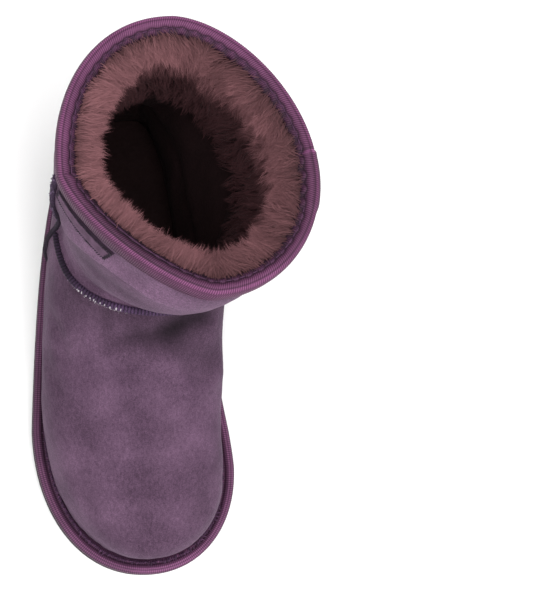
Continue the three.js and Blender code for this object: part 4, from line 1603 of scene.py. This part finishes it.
        # Painted shade: the fleece is coloured nearly black deep in the shaft and lighter only near the
        # mouth.
        depth = smooth(135, 160, path[:, 1:]) * np.ones_like(turn)[None]
        tone = 0.04 + 0.3 * depth
        pile = PileFinish("lining_fleece", (0.008, 0.003, 0.0035), (0.11, 0.04, 0.045), 0.01).material()
        faces = grid_faces(len(path), columns, loop_rows=True, loop_columns=True)
        mesh_piece("fleece", points.reshape(-1, 3), faces, pile, {"tone": tone.ravel()}, ("lining",))

    def build(self) -> None:
        """Builds the fleece and its locks."""
        self._fleece()
        pile = PileFinish("wool_pile").material()
        self._locks(PileZone.LIP, 1100, 28, (0.0, 0.13), 12.5, 0.27, pile)
        self._locks(PileZone.EDGE, 1100, 28, (0.1, 0.3), 10.0, 0.27, pile)
        self._locks(PileZone.WALL, 1000, 14, (0.28, 1.0), 9.5, 0.5, pile)


@dataclass
class CollarTape:
    """Ribbed tape folded over the top edge, stitched through below it."""

    pitch: float = TAPE_PITCH
    rib: float = 0.2
    slant: float = 0.3
    scallop: float = 7.2
    joint_turn: float = 0.762
    twist_turn: float = 0.272

    def build(self) -> None:
        """Builds the tape and its stitches."""
        level = S.shaft_height
        outline = partial(FORM.level_outline, level - 2, 0.0)
        turns = pitched_turns(outline, self.pitch, RIB_STEPS)
        run = np.arange(len(turns)) / RIB_STEPS
        along = run * self.pitch
        wave = 0.5 + 0.5 * np.cos(2 * np.pi * along / self.scallop + 0.8 * np.sin(along / 31.0))
        # Growth over the upper's face, rise over its top, share of the ribs, share of the scallops, tone; the
        # tone paints a highlight on the fold's crown and shade in the grooves between rows, at the lower edge
        # and down the inner leg
        section = np.array([
            (0.2, -9.0, 0.0, 0.0, 0.35), (1.0, -9.1, 0.4, 0.0, 0.45), (1.7, -8.7, 1.0, 0.0, 0.66),
            (1.7, -7.9, 0.9, 0.0, 0.64), (1.55, -7.4, 0.6, 0.0, 0.5), (1.8, -6.9, 1.0, 0.0, 0.68),
            (2.05, -5.8, 1.0, 0.0, 0.72), (2.1, -4.6, 1.0, 0.0, 0.74), (2.05, -4.1, 0.9, 0.0, 0.68),
            (2.15, -3.6, 1.0, 0.0, 0.76), (2.1, -2.4, 1.0, 0.0, 0.8), (1.9, -1.2, 1.0, 0.0, 0.85),
            (1.6, -0.2, 0.8, 0.0, 0.8), (1.3, 0.5, 1.0, 0.0, 1.1), (0.7, 1.1, 1.0, 0.0, 1.3),
            (0.0, 1.45, 1.0, 0.0, 1.25), (-0.6, 1.3, 0.6, 0.0, 0.62), (-1.3, 1.6, 1.0, 0.1, 0.95),
            (-2.4, 1.55, 1.0, 0.25, 0.9), (-3.3, 1.0, 1.0, 0.5, 0.76), (-4.0, 0.3, 0.4, 0.9, 0.36),
            (-4.7, 0.35, 0.9, 1.2, 0.66), (-5.9, 0.1, 0.9, 1.9, 0.62), (-6.9, -0.7, 0.8, 2.2, 0.5),
            (-7.2, -2.2, 0.3, 1.6, 0.35), (-6.6, -4.4, 0.0, 0.5, 0.3), (-5.2, -9.0, 0.0, 0.0, 0.3),
            (-3.4, -9.0, 0.0, 0.0, 0.3), (-3.4, 0.0, 0.0, 0.0, 0.4), (0.2, 0.0, 0.0, 0.0, 0.4),
        ])
        lean = self.slant * section[:, :1] * (section[:, 1:2] > -0.5)
        crest = 0.5 + 0.5 * np.cos(2 * np.pi * (run + lean))
        growth = section[:, :1] + self.rib * crest * section[:, 2:3]
        rise = section[:, 1:2] + 0.5 * self.rib * crest * section[:, 2:3] * (section[:, 1:2] > 0)
        turned = np.exp(-(((turns - self.twist_turn + 0.5) % 1 - 0.5) / 0.013) ** 2)
        growth = growth - 0.85 * (wave - 0.5) * section[:, 3:4]
        growth = growth - 1.1 * turned * (section[:, 1:2] > -1.0) * (section[:, :1] < -1.0)
        rise = rise - 0.75 * wave * section[:, 3:4]
        ahead = (self.joint_turn - turns + 0.5) % 1 - 0.5
        lap = smooth(0.0, 0.001, ahead) * (1 - smooth(0.07, 0.085, ahead))
        growth = growth + 0.6 * lap * (section[:, 1:2] < 0) * (section[:, :1] > 0)
        growth = growth - 0.8 * lap * (section[:, 1:2] > -1.0) * (section[:, :1] < -1.0)
        points = FORM.grown(turns[None], level + np.minimum(rise, 0), growth)
        sag = 0.5 * soft_noise(np.stack([along * 0.02, along * 0, along * 0], -1), 1.0, 44)
        points[..., 2] += (np.maximum(rise, 0) + sag * smooth(-9, 0, rise) * 0.6
                           + 0.7 * lap * smooth(-0.5, 0.3, rise))
        shade = 1 - 0.72 * smooth(0.3, 1.6, section[:, 3:4]) * wave
        beside = (turns - self.joint_turn + 0.5) % 1 - 0.5
        behind = np.abs((turns + 0.5) % 1 - 0.5)
        # Painted highlight along the lapped end of the tape and painted shadow just beside it; a little
        # lighter at the back.
        edge = 1.02 + 0.1 * np.exp(-((behind / 0.15) ** 2)) + 1.1 * np.exp(-((beside + 0.0005) / 0.0024) ** 2)
        edge = edge - 0.35 * np.exp(-((beside - 0.004) / 0.0016) ** 2)
        # The tape is darker at the inner side and at the front
        edge = edge - 0.26 * np.exp(-(((turns - 0.34) / 0.08) ** 2))
        edge = edge - 0.32 * np.exp(-(((turns - 0.71) / 0.11) ** 2))
        front = np.exp(-(((turns - 0.38) / 0.09) ** 2))
        edge = edge * (1 - 0.42 * front * (section[:, :1] < -0.3) - 0.1 * front * (section[:, 1:2] < -0.5))
        tone = section[:, 4:5] * (0.93 + 0.1 * soft_noise(points, 6.0, 45)) * shade * edge
        ribmap = crest * section[:, 2:3] * np.ones_like(rise)
        faces = grid_faces(len(section), len(turns), loop_rows=True, loop_columns=True)
        tape = TapeFinish("collar_tape_weave").material()
        mesh_piece("collar_binding", points.reshape(-1, 3), faces, tape,
                   {"tone": tone.ravel(), "rib": ribmap.ravel()}, ("collar_tape",))
        self._stitches(outline)

    def _stitches(self, outline: Outline) -> None:
        """Rows of stitches through the outer leg and the inner edge.

        Args:
            outline: the mouth's outline.
        """
        thread = ThreadFinish("tape_thread", (0.02, 0.008, 0.02), (0.1, 0.04, 0.09)).material()
        # Name, pitch, growth over the upper's face, rise over its top
        rows = (("collar_stitches", 3.2, 1.45, -7.4), ("collar_edge_stitches", 3.6, -4.6, 0.2))
        for name, pitch, growth, rise in rows:
            turns = pitched_turns(outline, pitch)
            count = len(turns)
            half = 0.36 / count
            level = np.full(count, S.shaft_height + rise)
            ends = [FORM.grown(turns + d, level, np.full(count, growth)) for d in (-half, half)]
            verts, faces = capsules(ends[0], ends[1], np.full(count, 0.34))
            mesh_piece(name, verts, faces, thread)


def capsules(start: Array, end: Array, radius: Array, plain: bool = False) -> tuple[Array, Array]:
    """Short threads with rounded ends, one from each start to its end.

    Args:
        start: places where the threads begin, (n, 3).
        end: places where they end, (n, 3).
        radius: half the thickness of each.
        plain: gives each thread fewer faces, for the finest ones.

    Returns:
        Points and triangles.
    """
    sides = 4 if plain else 6
    shape = ((-0.12, 0.15), (0.0, 0.75), (0.25, 1.0), (0.75, 1.0), (1.0, 0.75), (1.12, 0.15))
    if plain:
        shape = ((-0.1, 0.35), (0.45, 1.0), (1.1, 0.3))
    along = unit(end - start)
    spare = np.where(np.abs(along[:, 2:3]) < 0.9, [[0.0, 0.0, 1.0]], [[1.0, 0.0, 0.0]])
    a = unit(np.cross(along, spare))
    b = np.cross(along, a)
    angle = np.linspace(0, 2 * np.pi, sides, endpoint=False)
    ring = np.cos(angle)[None, :, None] * a[:, None] + np.sin(angle)[None, :, None] * b[:, None]
    stations = []
    for share, size in shape:
        centre = start + (end - start) * share
        stations.append(centre[:, None] + ring * (radius * size)[:, None, None])
    rings = np.stack(stations, 1)
    one = grid_faces(len(shape), sides, loop_columns=True)
    tri = np.concatenate([one[:, [0, 1, 2]], one[:, [0, 2, 3]]])
    last = (len(shape) - 1) * sides
    caps = [(0, k + 1, k) for k in range(1, sides - 1)]
    caps += [(last, last + k, last + k + 1) for k in range(1, sides - 1)]
    tri = np.concatenate([tri, np.array(caps)])
    faces = tri[None] + (np.arange(len(start)) * len(shape) * sides)[:, None, None]
    return rings.reshape(-1, 3), faces.reshape(-1, 3)


@dataclass
class Welt:
    """Ribbed tape bound round the edge of the sole, with a stitched channel inside it."""

    pitch: float = TAPE_PITCH
    rib: float = 0.14
    stitch: float = 4.0

    def build(self) -> None:
        """Builds the bound edge and its stitches."""
        outline = partial(FORM.sole_outline, 2.0)
        turns = pitched_turns(outline, self.pitch, RIB_STEPS)
        run = np.arange(len(turns)) / RIB_STEPS
        crest = 0.5 + 0.5 * np.cos(2 * np.pi * run)
        top, foot, low = S.welt_top, S.sole_edge + S.clearance, S.platform
        # Inset from the edge, height, share of the ribs, tone; the tone paints shade on the welt's side face,
        # in its grooves and at its foot, and light on its top
        section = np.array([
            (1.0, foot, 0.0, 0.3), (0.25, foot + 0.4, 0.5, 0.45), (0.0, foot + 1.4, 0.8, 0.55),
            (0.3, foot + 1.9, 0.1, 0.35), (-0.05, foot + 2.5, 0.9, 0.6), (-0.1, foot + 4.2, 1.0, 0.7),
            (0.25, foot + 4.7, 0.1, 0.4), (-0.05, foot + 5.3, 1.0, 0.8), (0.2, top - 1.6, 1.0, 0.95),
            (0.6, top - 0.95, 0.4, 0.75), (0.9, top - 0.45, 1.0, 1.2), (1.6, top, 1.0, 1.3),
            (2.15, top - 0.15, 0.4, 0.85), (2.5, top + 0.1, 1.0, 1.3), (3.2, top + 0.05, 1.0, 1.25),
            (3.6, top - 0.25, 0.4, 0.75), (3.9, top - 0.3, 0.8, 0.9), (4.5, top - 0.8, 0.6, 0.75),
            (4.9, top - 1.4, 0.4, 0.7), (5.3, low + 2.1, 0.4, 0.7), (5.9, low + 2.6, 0.9, 1.0),
            (6.5, low + 2.6, 0.9, 1.0), (7.2, low + 2.1, 0.5, 0.8), (9.5, low + 1.6, 0.2, 0.6),
            (10.8, low, 0.0, 0.2), (10.8, foot, 0.0, 0.2),
        ])
        flat = np.stack([FORM.sole_outline(0, turns)] * len(section))
        out = FORM.sole_outline(0, turns) - FORM.sole_outline(1, turns)
        bulge = self.rib * crest * section[:, 2:3]
        flat = flat - out[None] * (section[:, :1] - bulge)[..., None]
        z = section[:, 1:2] + FORM.deck(flat[..., 1]) + bulge * (section[:, 1:2] > top - 1)
        points = np.concatenate([flat, z[..., None]], -1)
        points[..., 2] += 0.22 * soft_noise(points, 17.0, 52) * (section[:, 1:2] > low + 1)
        # Painted shade along the outer side, which is turned from the light, and painted light round the toe
        tone_swing = 1 - 0.24 * np.exp(-(((turns - 0.28) / 0.12) ** 2))
        tone_swing = tone_swing + 0.2 * np.exp(-(((turns - 0.53) / 0.07) ** 2))
        tone = section[:, 3:4] * (0.93 + 0.1 * soft_noise(points, 7.0, 51)) * tone_swing
        faces = grid_faces(len(section), len(turns), loop_rows=True, loop_columns=True)
        tape = TapeFinish("welt_tape_weave", (0.028, 0.007, 0.025), (0.19, 0.07, 0.15)).material()
        ribmap = crest * section[:, 2:3] * np.ones(len(turns))
        mesh_piece("welt_binding", points.reshape(-1, 3), faces, tape,
                   {"tone": tone.ravel(), "rib": ribmap.ravel()}, ("welt",))
        self._stitches()
        self._nap()

    def _nap(self) -> None:
        """Nibbled suede that stands in the channel along the foot of the upper."""
        rng = np.random.default_rng(73)
        count = 2000
        turns, _ = even_turns(partial(FORM.level_outline, 16.0, 0.0), count)
        level = rng.uniform(FORM.foot_level + 1.0, FORM.foot_level + 5.5, count)
        start, normal = FORM.grown(turns, level, np.full(count, 0.1)), FORM.normal(turns, level)
        lean = normal + np.array([[0.0, 0.0, -0.6]]) + 0.35 * rng.normal(0, 1, (count, 3))
        tips = start + lean * rng.uniform(0.5, 1.5, (count, 1))
        verts, faces = capsules(start, tips, rng.uniform(0.28, 0.52, count), plain=True)
        tone = np.repeat(rng.uniform(0.35, 1.0, count), len(verts) // count)
        nap = SuedeFinish("feather_nap", (0.05, 0.016, 0.05), (0.14, 0.06, 0.13)).material()
        mesh_piece("feather_line_nap", verts, faces, nap, {"tone": tone})

    def _stitches(self) -> None:
        """Lockstitches that lie in the channel."""
        thread = ThreadFinish("welt_thread", (0.02, 0.009, 0.026), (0.1, 0.045, 0.1)).material()
        outline = partial(FORM.sole_outline, 6.2)
        turns = pitched_turns(outline, self.stitch)
        count = len(turns)
        ends = []
        for d in (-0.38 / count, 0.38 / count):
            flat = outline(turns + d)
            ends.append(np.concatenate([flat, (S.platform + 2.7 + FORM.deck(flat[:, 1]))[:, None]], 1))
        verts, faces = capsules(ends[0], ends[1], np.full(count, 0.5))
        mesh_piece("welt_stitches", verts, faces, thread)


@dataclass
class Outsole:
    """Light rubber sole with toe spring, waist, heel, side step and cross grooves."""

    columns: int = 26
    rows: int = 210
    flare: float = 1.5

    def _halves(self, y: Array, inset: float) -> tuple[Array, Array]:
        """Left and right edge of the sole.

        Args:
            y: distances from the toe.
            inset: distance from the sole's outline.

        Returns:
            Sideways place of each edge at each distance.
        """
        edges = []
        for end in (0, 1):
            p = FORM.sole_outline(inset, np.linspace(0.5, end, 2001))
            order = np.maximum.accumulate(p[:, 1])
            edges.append(np.interp(y, order, p[:, 0]))
        return edges[0], edges[1]

    def _stations(self) -> Array:
        """Places of the sole's cross sections, close at the tips and at each groove.

        Returns:
            Distances from the toe.
        """
        inset = S.sole_step
        tip, end = inset - self.flare, S.length - inset + self.flare
        t = np.linspace(0, 1, self.rows)
        even = tip + 0.02 + (end - tip - 0.04) * (0.5 - 0.5 * np.cos(np.pi * t))
        starts = [S.fore_tread_at + i * S.groove_pitch for i in range(S.fore_grooves)]
        starts += [S.heel_tread_at + i * S.groove_pitch for i in range(S.heel_grooves)]
        marks = [y + d for y in starts for d in (0, 0.12, S.groove_width - 0.12, S.groove_width)]
        keep = [y for y in even if all(not (s - 0.4 < y < s + S.groove_width + 0.4) for s in starts)]
        return np.array(sorted(keep + marks))

    def build(self) -> None:
        """Builds the sole as a run of cross sections from toe to heel."""
        y = self._stations()
        left, right = self._halves(y, S.sole_step - self.flare)
        groove = np.zeros_like(y)
        for count, first in ((S.fore_grooves, S.fore_tread_at), (S.heel_grooves, S.heel_tread_at)):
            for i in range(count):
                at = first + i * S.groove_pitch
                inside = (y > at + 0.06) & (y < at + S.groove_width - 0.06)
                groove = np.maximum(groove, inside * S.groove_depth)
        low = FORM.underside(y)
        top = S.sole_edge + FORM.deck(y)
        width = right - left
        share = np.linspace(-1, 1, self.columns)
        rings = []
        # Inset and height of the edge, as (inset, share of the height from the tread to the top)
        edge = ((1.2, 0.0), (0.35, 0.12), (0.0, 0.25), (0.0, 0.5),
                (0.28, 0.56), (0.28, 0.66), (0.0, 0.72), (0.0, 1.0))
        spare = np.minimum(1.0, width / 12)
        for s in share:
            x = 0.5 * (left + right) + s * (0.5 * width - 1.2 * spare)
            rings.append(np.stack([x, y, low + groove], -1))
        for inset, rise in edge[1:]:
            z = np.maximum(low + (top - low) * rise, low + groove)
            rings.append(np.stack([right - inset * spare, y, z], -1))
        for s in share[::-1]:
            x = 0.5 * (left + right) + s * (0.5 * width - 0.8 * spare)
            rings.append(np.stack([x, y, top], -1))
        for inset, rise in edge[:0:-1]:
            z = np.maximum(low + (top - low) * rise, low + groove)
            rings.append(np.stack([left + inset * spare, y, z], -1))
        points = np.stack(rings, 1)
        verts, faces = capped(points)
        rubber = RubberFinish().material()
        mesh_piece("outsole_tread", verts, faces, rubber, None, ("outsole",))


@dataclass
class Insole:
    """Sock of short pile on its board."""

    rings: int = 40
    columns: int = 160

    def build(self) -> None:
        """Builds the insole as a crowned pad with a woolly top."""
        turn = np.arange(self.columns) / self.columns
        inset = S.feather_inset + S.wall + 2 * S.clearance
        rim = FORM.sole_outline(inset, turn)
        spine_y = np.clip(rim[:, 1], 34, S.length - 34)
        spine = np.stack([np.interp(spine_y, [34, 150, 226], [-4, -6, -2]), spine_y], -1)
        share = np.linspace(1, 0, self.rings)[:, None, None]
        flat = spine[None] + (rim - spine)[None] * share
        top = S.platform + S.clearance + S.insole_thickness
        points = np.concatenate([flat, (top + FORM.deck(flat[..., 1]))[..., None]], -1)
        points[..., 2] += (0.9 * soft_noise(points, 9.0, 61) + 0.3 * soft_noise(points, 2.2, 62)
                           - 0.5 * smooth(0.97, 1.0, share[..., 0]))
        foot = np.concatenate([rim, (S.platform + S.clearance + FORM.deck(rim[:, 1]))[:, None]], -1)
        points = np.concatenate([foot[None], points])
        faces = grid_faces(len(points), self.columns, loop_columns=True)
        # Painted shade: the insole lies deep in the boot and is coloured nearly black.
        pile = PileFinish("insole_pile", (0.005, 0.0018, 0.002), (0.05, 0.02, 0.021), 0.02).material()
        tone = np.full(points[..., 0].size, 0.2)
        mesh_piece("insole_sock", points.reshape(-1, 3), faces, pile, {"tone": tone}, ("insole",))


@dataclass
class Patch:
    """Plain woven strip sewn under the tape on the outer front of the shaft."""

    thickness: float = 1.0
    stitch: float = 0.95
    reach: float = 0.73
    rows: int = 40
    columns: int = 150

    def build(self) -> None:
        """Builds the strip, its border and its stitches."""
        top = S.shaft_height - S.patch_drop
        levels = np.linspace(top - S.patch_height, top, self.rows)
        back = S.side_seam_top_at - 5.5
        front = back - self.reach * S.patch_length
        turns = np.linspace(0.06, 0.5, 600)
        rows = []
        for level in levels:
            y = FORM.face(turns, np.full(turns.shape, level))[:, 1]
            ends = np.interp([-back, -front], -y, turns)
            rows.append(np.linspace(ends[0], ends[1], self.columns))
        turn = np.array(rows)
        level = np.repeat(levels[:, None], self.columns, 1)
        u, v = np.linspace(0, 1, self.columns)[None], np.linspace(0, 1, self.rows)[:, None]
        border = np.minimum(np.minimum(u, 1 - u) * S.patch_length, np.minimum(v, 1 - v) * S.patch_height)
        ribbed = 0.5 + 0.5 * np.cos(2 * np.pi * v * S.patch_height / 0.95)
        raised = smooth(1.4, 1.9, border)
        height = self.thickness + 0.3 - 0.3 * np.exp(-(((border - 1.2) / 0.4) ** 2)) + 0.12 * ribbed * raised
        height = height * smooth(-0.3, 1.2, border) + 0.15
        outer = FORM.grown(turn, level, height)
        inner = FORM.grown(turn, level, np.full(turn.shape, 0.0))
        points, faces = closed_sheet(outer, inner)
        tone_swing = 0.92 + 0.34 * soft_noise(outer, 2.2, 71) + 0.16 * soft_noise(outer, 6.0, 72)
        face = (0.6 + 0.62 * smooth(1.0, 2.2, border + 0.6 * soft_noise(outer, 1.8, 73))) * tone_swing
        tone = np.concatenate([face.ravel(), np.ones(turn.size)])
        rib = np.concatenate([(ribbed * raised).ravel(), np.zeros(turn.size)])
        woven = TapeFinish("strip_weave", (0.04, 0.02, 0.04), (0.115, 0.06, 0.104), 0.8).material()
        mesh_piece("plain_strip", points, faces, woven, {"tone": tone, "rib": rib}, ("patch",))
        self._border(turns, levels, (back, front))

    def _border(self, turns: Array, levels: Array, reach: tuple[float, float]) -> None:
        """Close whip stitches over the strip's four edges.

        Args:
            turns: turns to search for a place in.
            levels: heights of the strip's rows.
            reach: distance of its back and front edge from the toe.
        """
        rng = np.random.default_rng(83)
        low, high = levels[0] + 0.7, levels[-1] - 0.7
        back, front = reach[0] - 0.8, reach[1] + 0.8
        along, up = round(S.patch_length * self.reach / self.stitch), round(S.patch_height / self.stitch)
        y = np.concatenate([np.linspace(back, front, along), np.full(up, front),
                            np.linspace(front, back, along), np.full(up, back)])
        z = np.concatenate([np.full(along, low), np.linspace(low, high, up),
                            np.full(along, high), np.linspace(high, low, up)])
        turn = np.array([
            np.interp(-at, -FORM.face(turns, np.full(turns.shape, level))[:, 1], turns)
            for at, level in zip(y, z)
        ])
        count = len(turn)
        centre, normal = FORM.grown(turn, z, np.full(count, self.thickness + 0.42)), FORM.normal(turn, z)
        ahead = unit(np.roll(centre, -1, axis=0) - np.roll(centre, 1, axis=0))
        across = unit(np.cross(normal, ahead)) + 0.5 * ahead + 0.15 * rng.normal(0, 1, (count, 3))
        reach_mm = rng.uniform(0.5, 0.95, (count, 1))
        side = across * reach_mm
        verts, faces = capsules(centre - side, centre + side, rng.uniform(0.24, 0.36, count))
        tone = np.repeat(rng.uniform(0.3, 0.8, count), len(verts) // count)
        thread = ThreadFinish("strip_thread", (0.016, 0.009, 0.018), (0.09, 0.058, 0.095), 0.8).material()
        mesh_piece("strip_stitches", verts, faces, thread, {"tone": tone})


@dataclass
class Studio:
    """Pale floor, soft lights and the camera at the photograph's angle."""

    azimuth: float = -45.7
    elevation: float = 76.4
    roll: float = 42.9
    distance: float = 968.6
    aim: tuple[float, float] = (80.3, 146.7)
    focal_px: float = 1737.0
    picture_px: float = 600.0
    sensor: float = 36.0

    def camera(self) -> None:
        """Places the camera."""
        az, el, roll = (math.radians(v) for v in (self.azimuth, self.elevation, self.roll))
        back = Vector((math.sin(az) * math.cos(el), -math.cos(az) * math.cos(el), math.sin(el)))
        right = (-back).cross(Vector((0, 0, 1))).normalized()
        up = right.cross(-back)
        r = math.cos(roll) * right + math.sin(roll) * up
        u = -math.sin(roll) * right + math.cos(roll) * up
        data = bpy.data.cameras.new("camera")
        data.lens = self.focal_px / self.picture_px * self.sensor
        data.sensor_width = self.sensor
        data.clip_end = 20
        camera = linked("camera", data)
        aim = Vector(place(np.array([*self.aim, 0.0])))
        where = aim + back * self.distance * MM
        rows = [(r[k], u[k], back[k], where[k]) for k in range(3)]
        camera.matrix_world = Matrix((*rows, (0, 0, 0, 1)))
        bpy.context.scene.camera = camera

    def light(
        self, name: str, place_m: Colour, power: float, size: float, aim: Colour = (0, 0, 0.05),
    ) -> None:
        """Adds a large soft light that faces a point.

        Args:
            name: the light's name.
            place_m: where it hangs, in metres.
            power: its watts.
            size: its width in metres.
            aim: the point that it faces.
        """
        data = bpy.data.lights.new(name, "AREA")
        data.energy, data.size, data.shape = power, size, "DISK"
        lamp = linked(name, data)
        lamp.location = place_m
        lamp.rotation_euler = (Vector(place_m) - Vector(aim)).to_track_quat("Z", "Y").to_euler()

    def build(self) -> None:
        """Builds floor, lights, world and camera."""
        mesh = bpy.data.meshes.new("floor")
        half = 12.0
        sheet = [(-half, -half, 0), (half, -half, 0), (half, half, 0), (-half, half, 0)]
        mesh.from_pydata(sheet, [], [(0, 1, 2, 3)])
        floor = linked("floor", mesh)
        mesh.materials.append(FloorFinish().material())
        floor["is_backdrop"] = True
        self.light("key", (0.6, -1.0, 1.4), 21, 1.4)
        self.light("fill", (-0.9, -0.6, 1.5), 12, 1.5)
        self.light("top", (0.05, -0.1, 1.9), 22, 1.6)
        world = bpy.data.worlds.new("studio")
        world.use_nodes = True
        sky = next(n for n in world.node_tree.nodes if n.type == "BACKGROUND")
        sky.inputs["Color"].default_value = (1, 1, 1, 1)
        sky.inputs["Strength"].default_value = 0.52
        bpy.context.scene.world = world
        bpy.context.scene.view_settings.view_transform = "Standard"
        self.camera()


def corners() -> list[list[float]]:
    """The whole object's box as plain lists."""
    return [[float(v) for v in corner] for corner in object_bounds()]


def main() -> None:
    """Builds every piece of the boot in order."""
    logging.basicConfig(level=logging.INFO, format="%(name)s %(message)s")
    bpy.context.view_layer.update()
    Studio().build()
    for part in (Outsole(), Welt(), Insole(), Upper(), Seams(), CollarTape(), Patch(), Pile()):
        LOG.info("building %s", type(part).__name__)
        part.build()


if __name__ == "__main__":
    main()
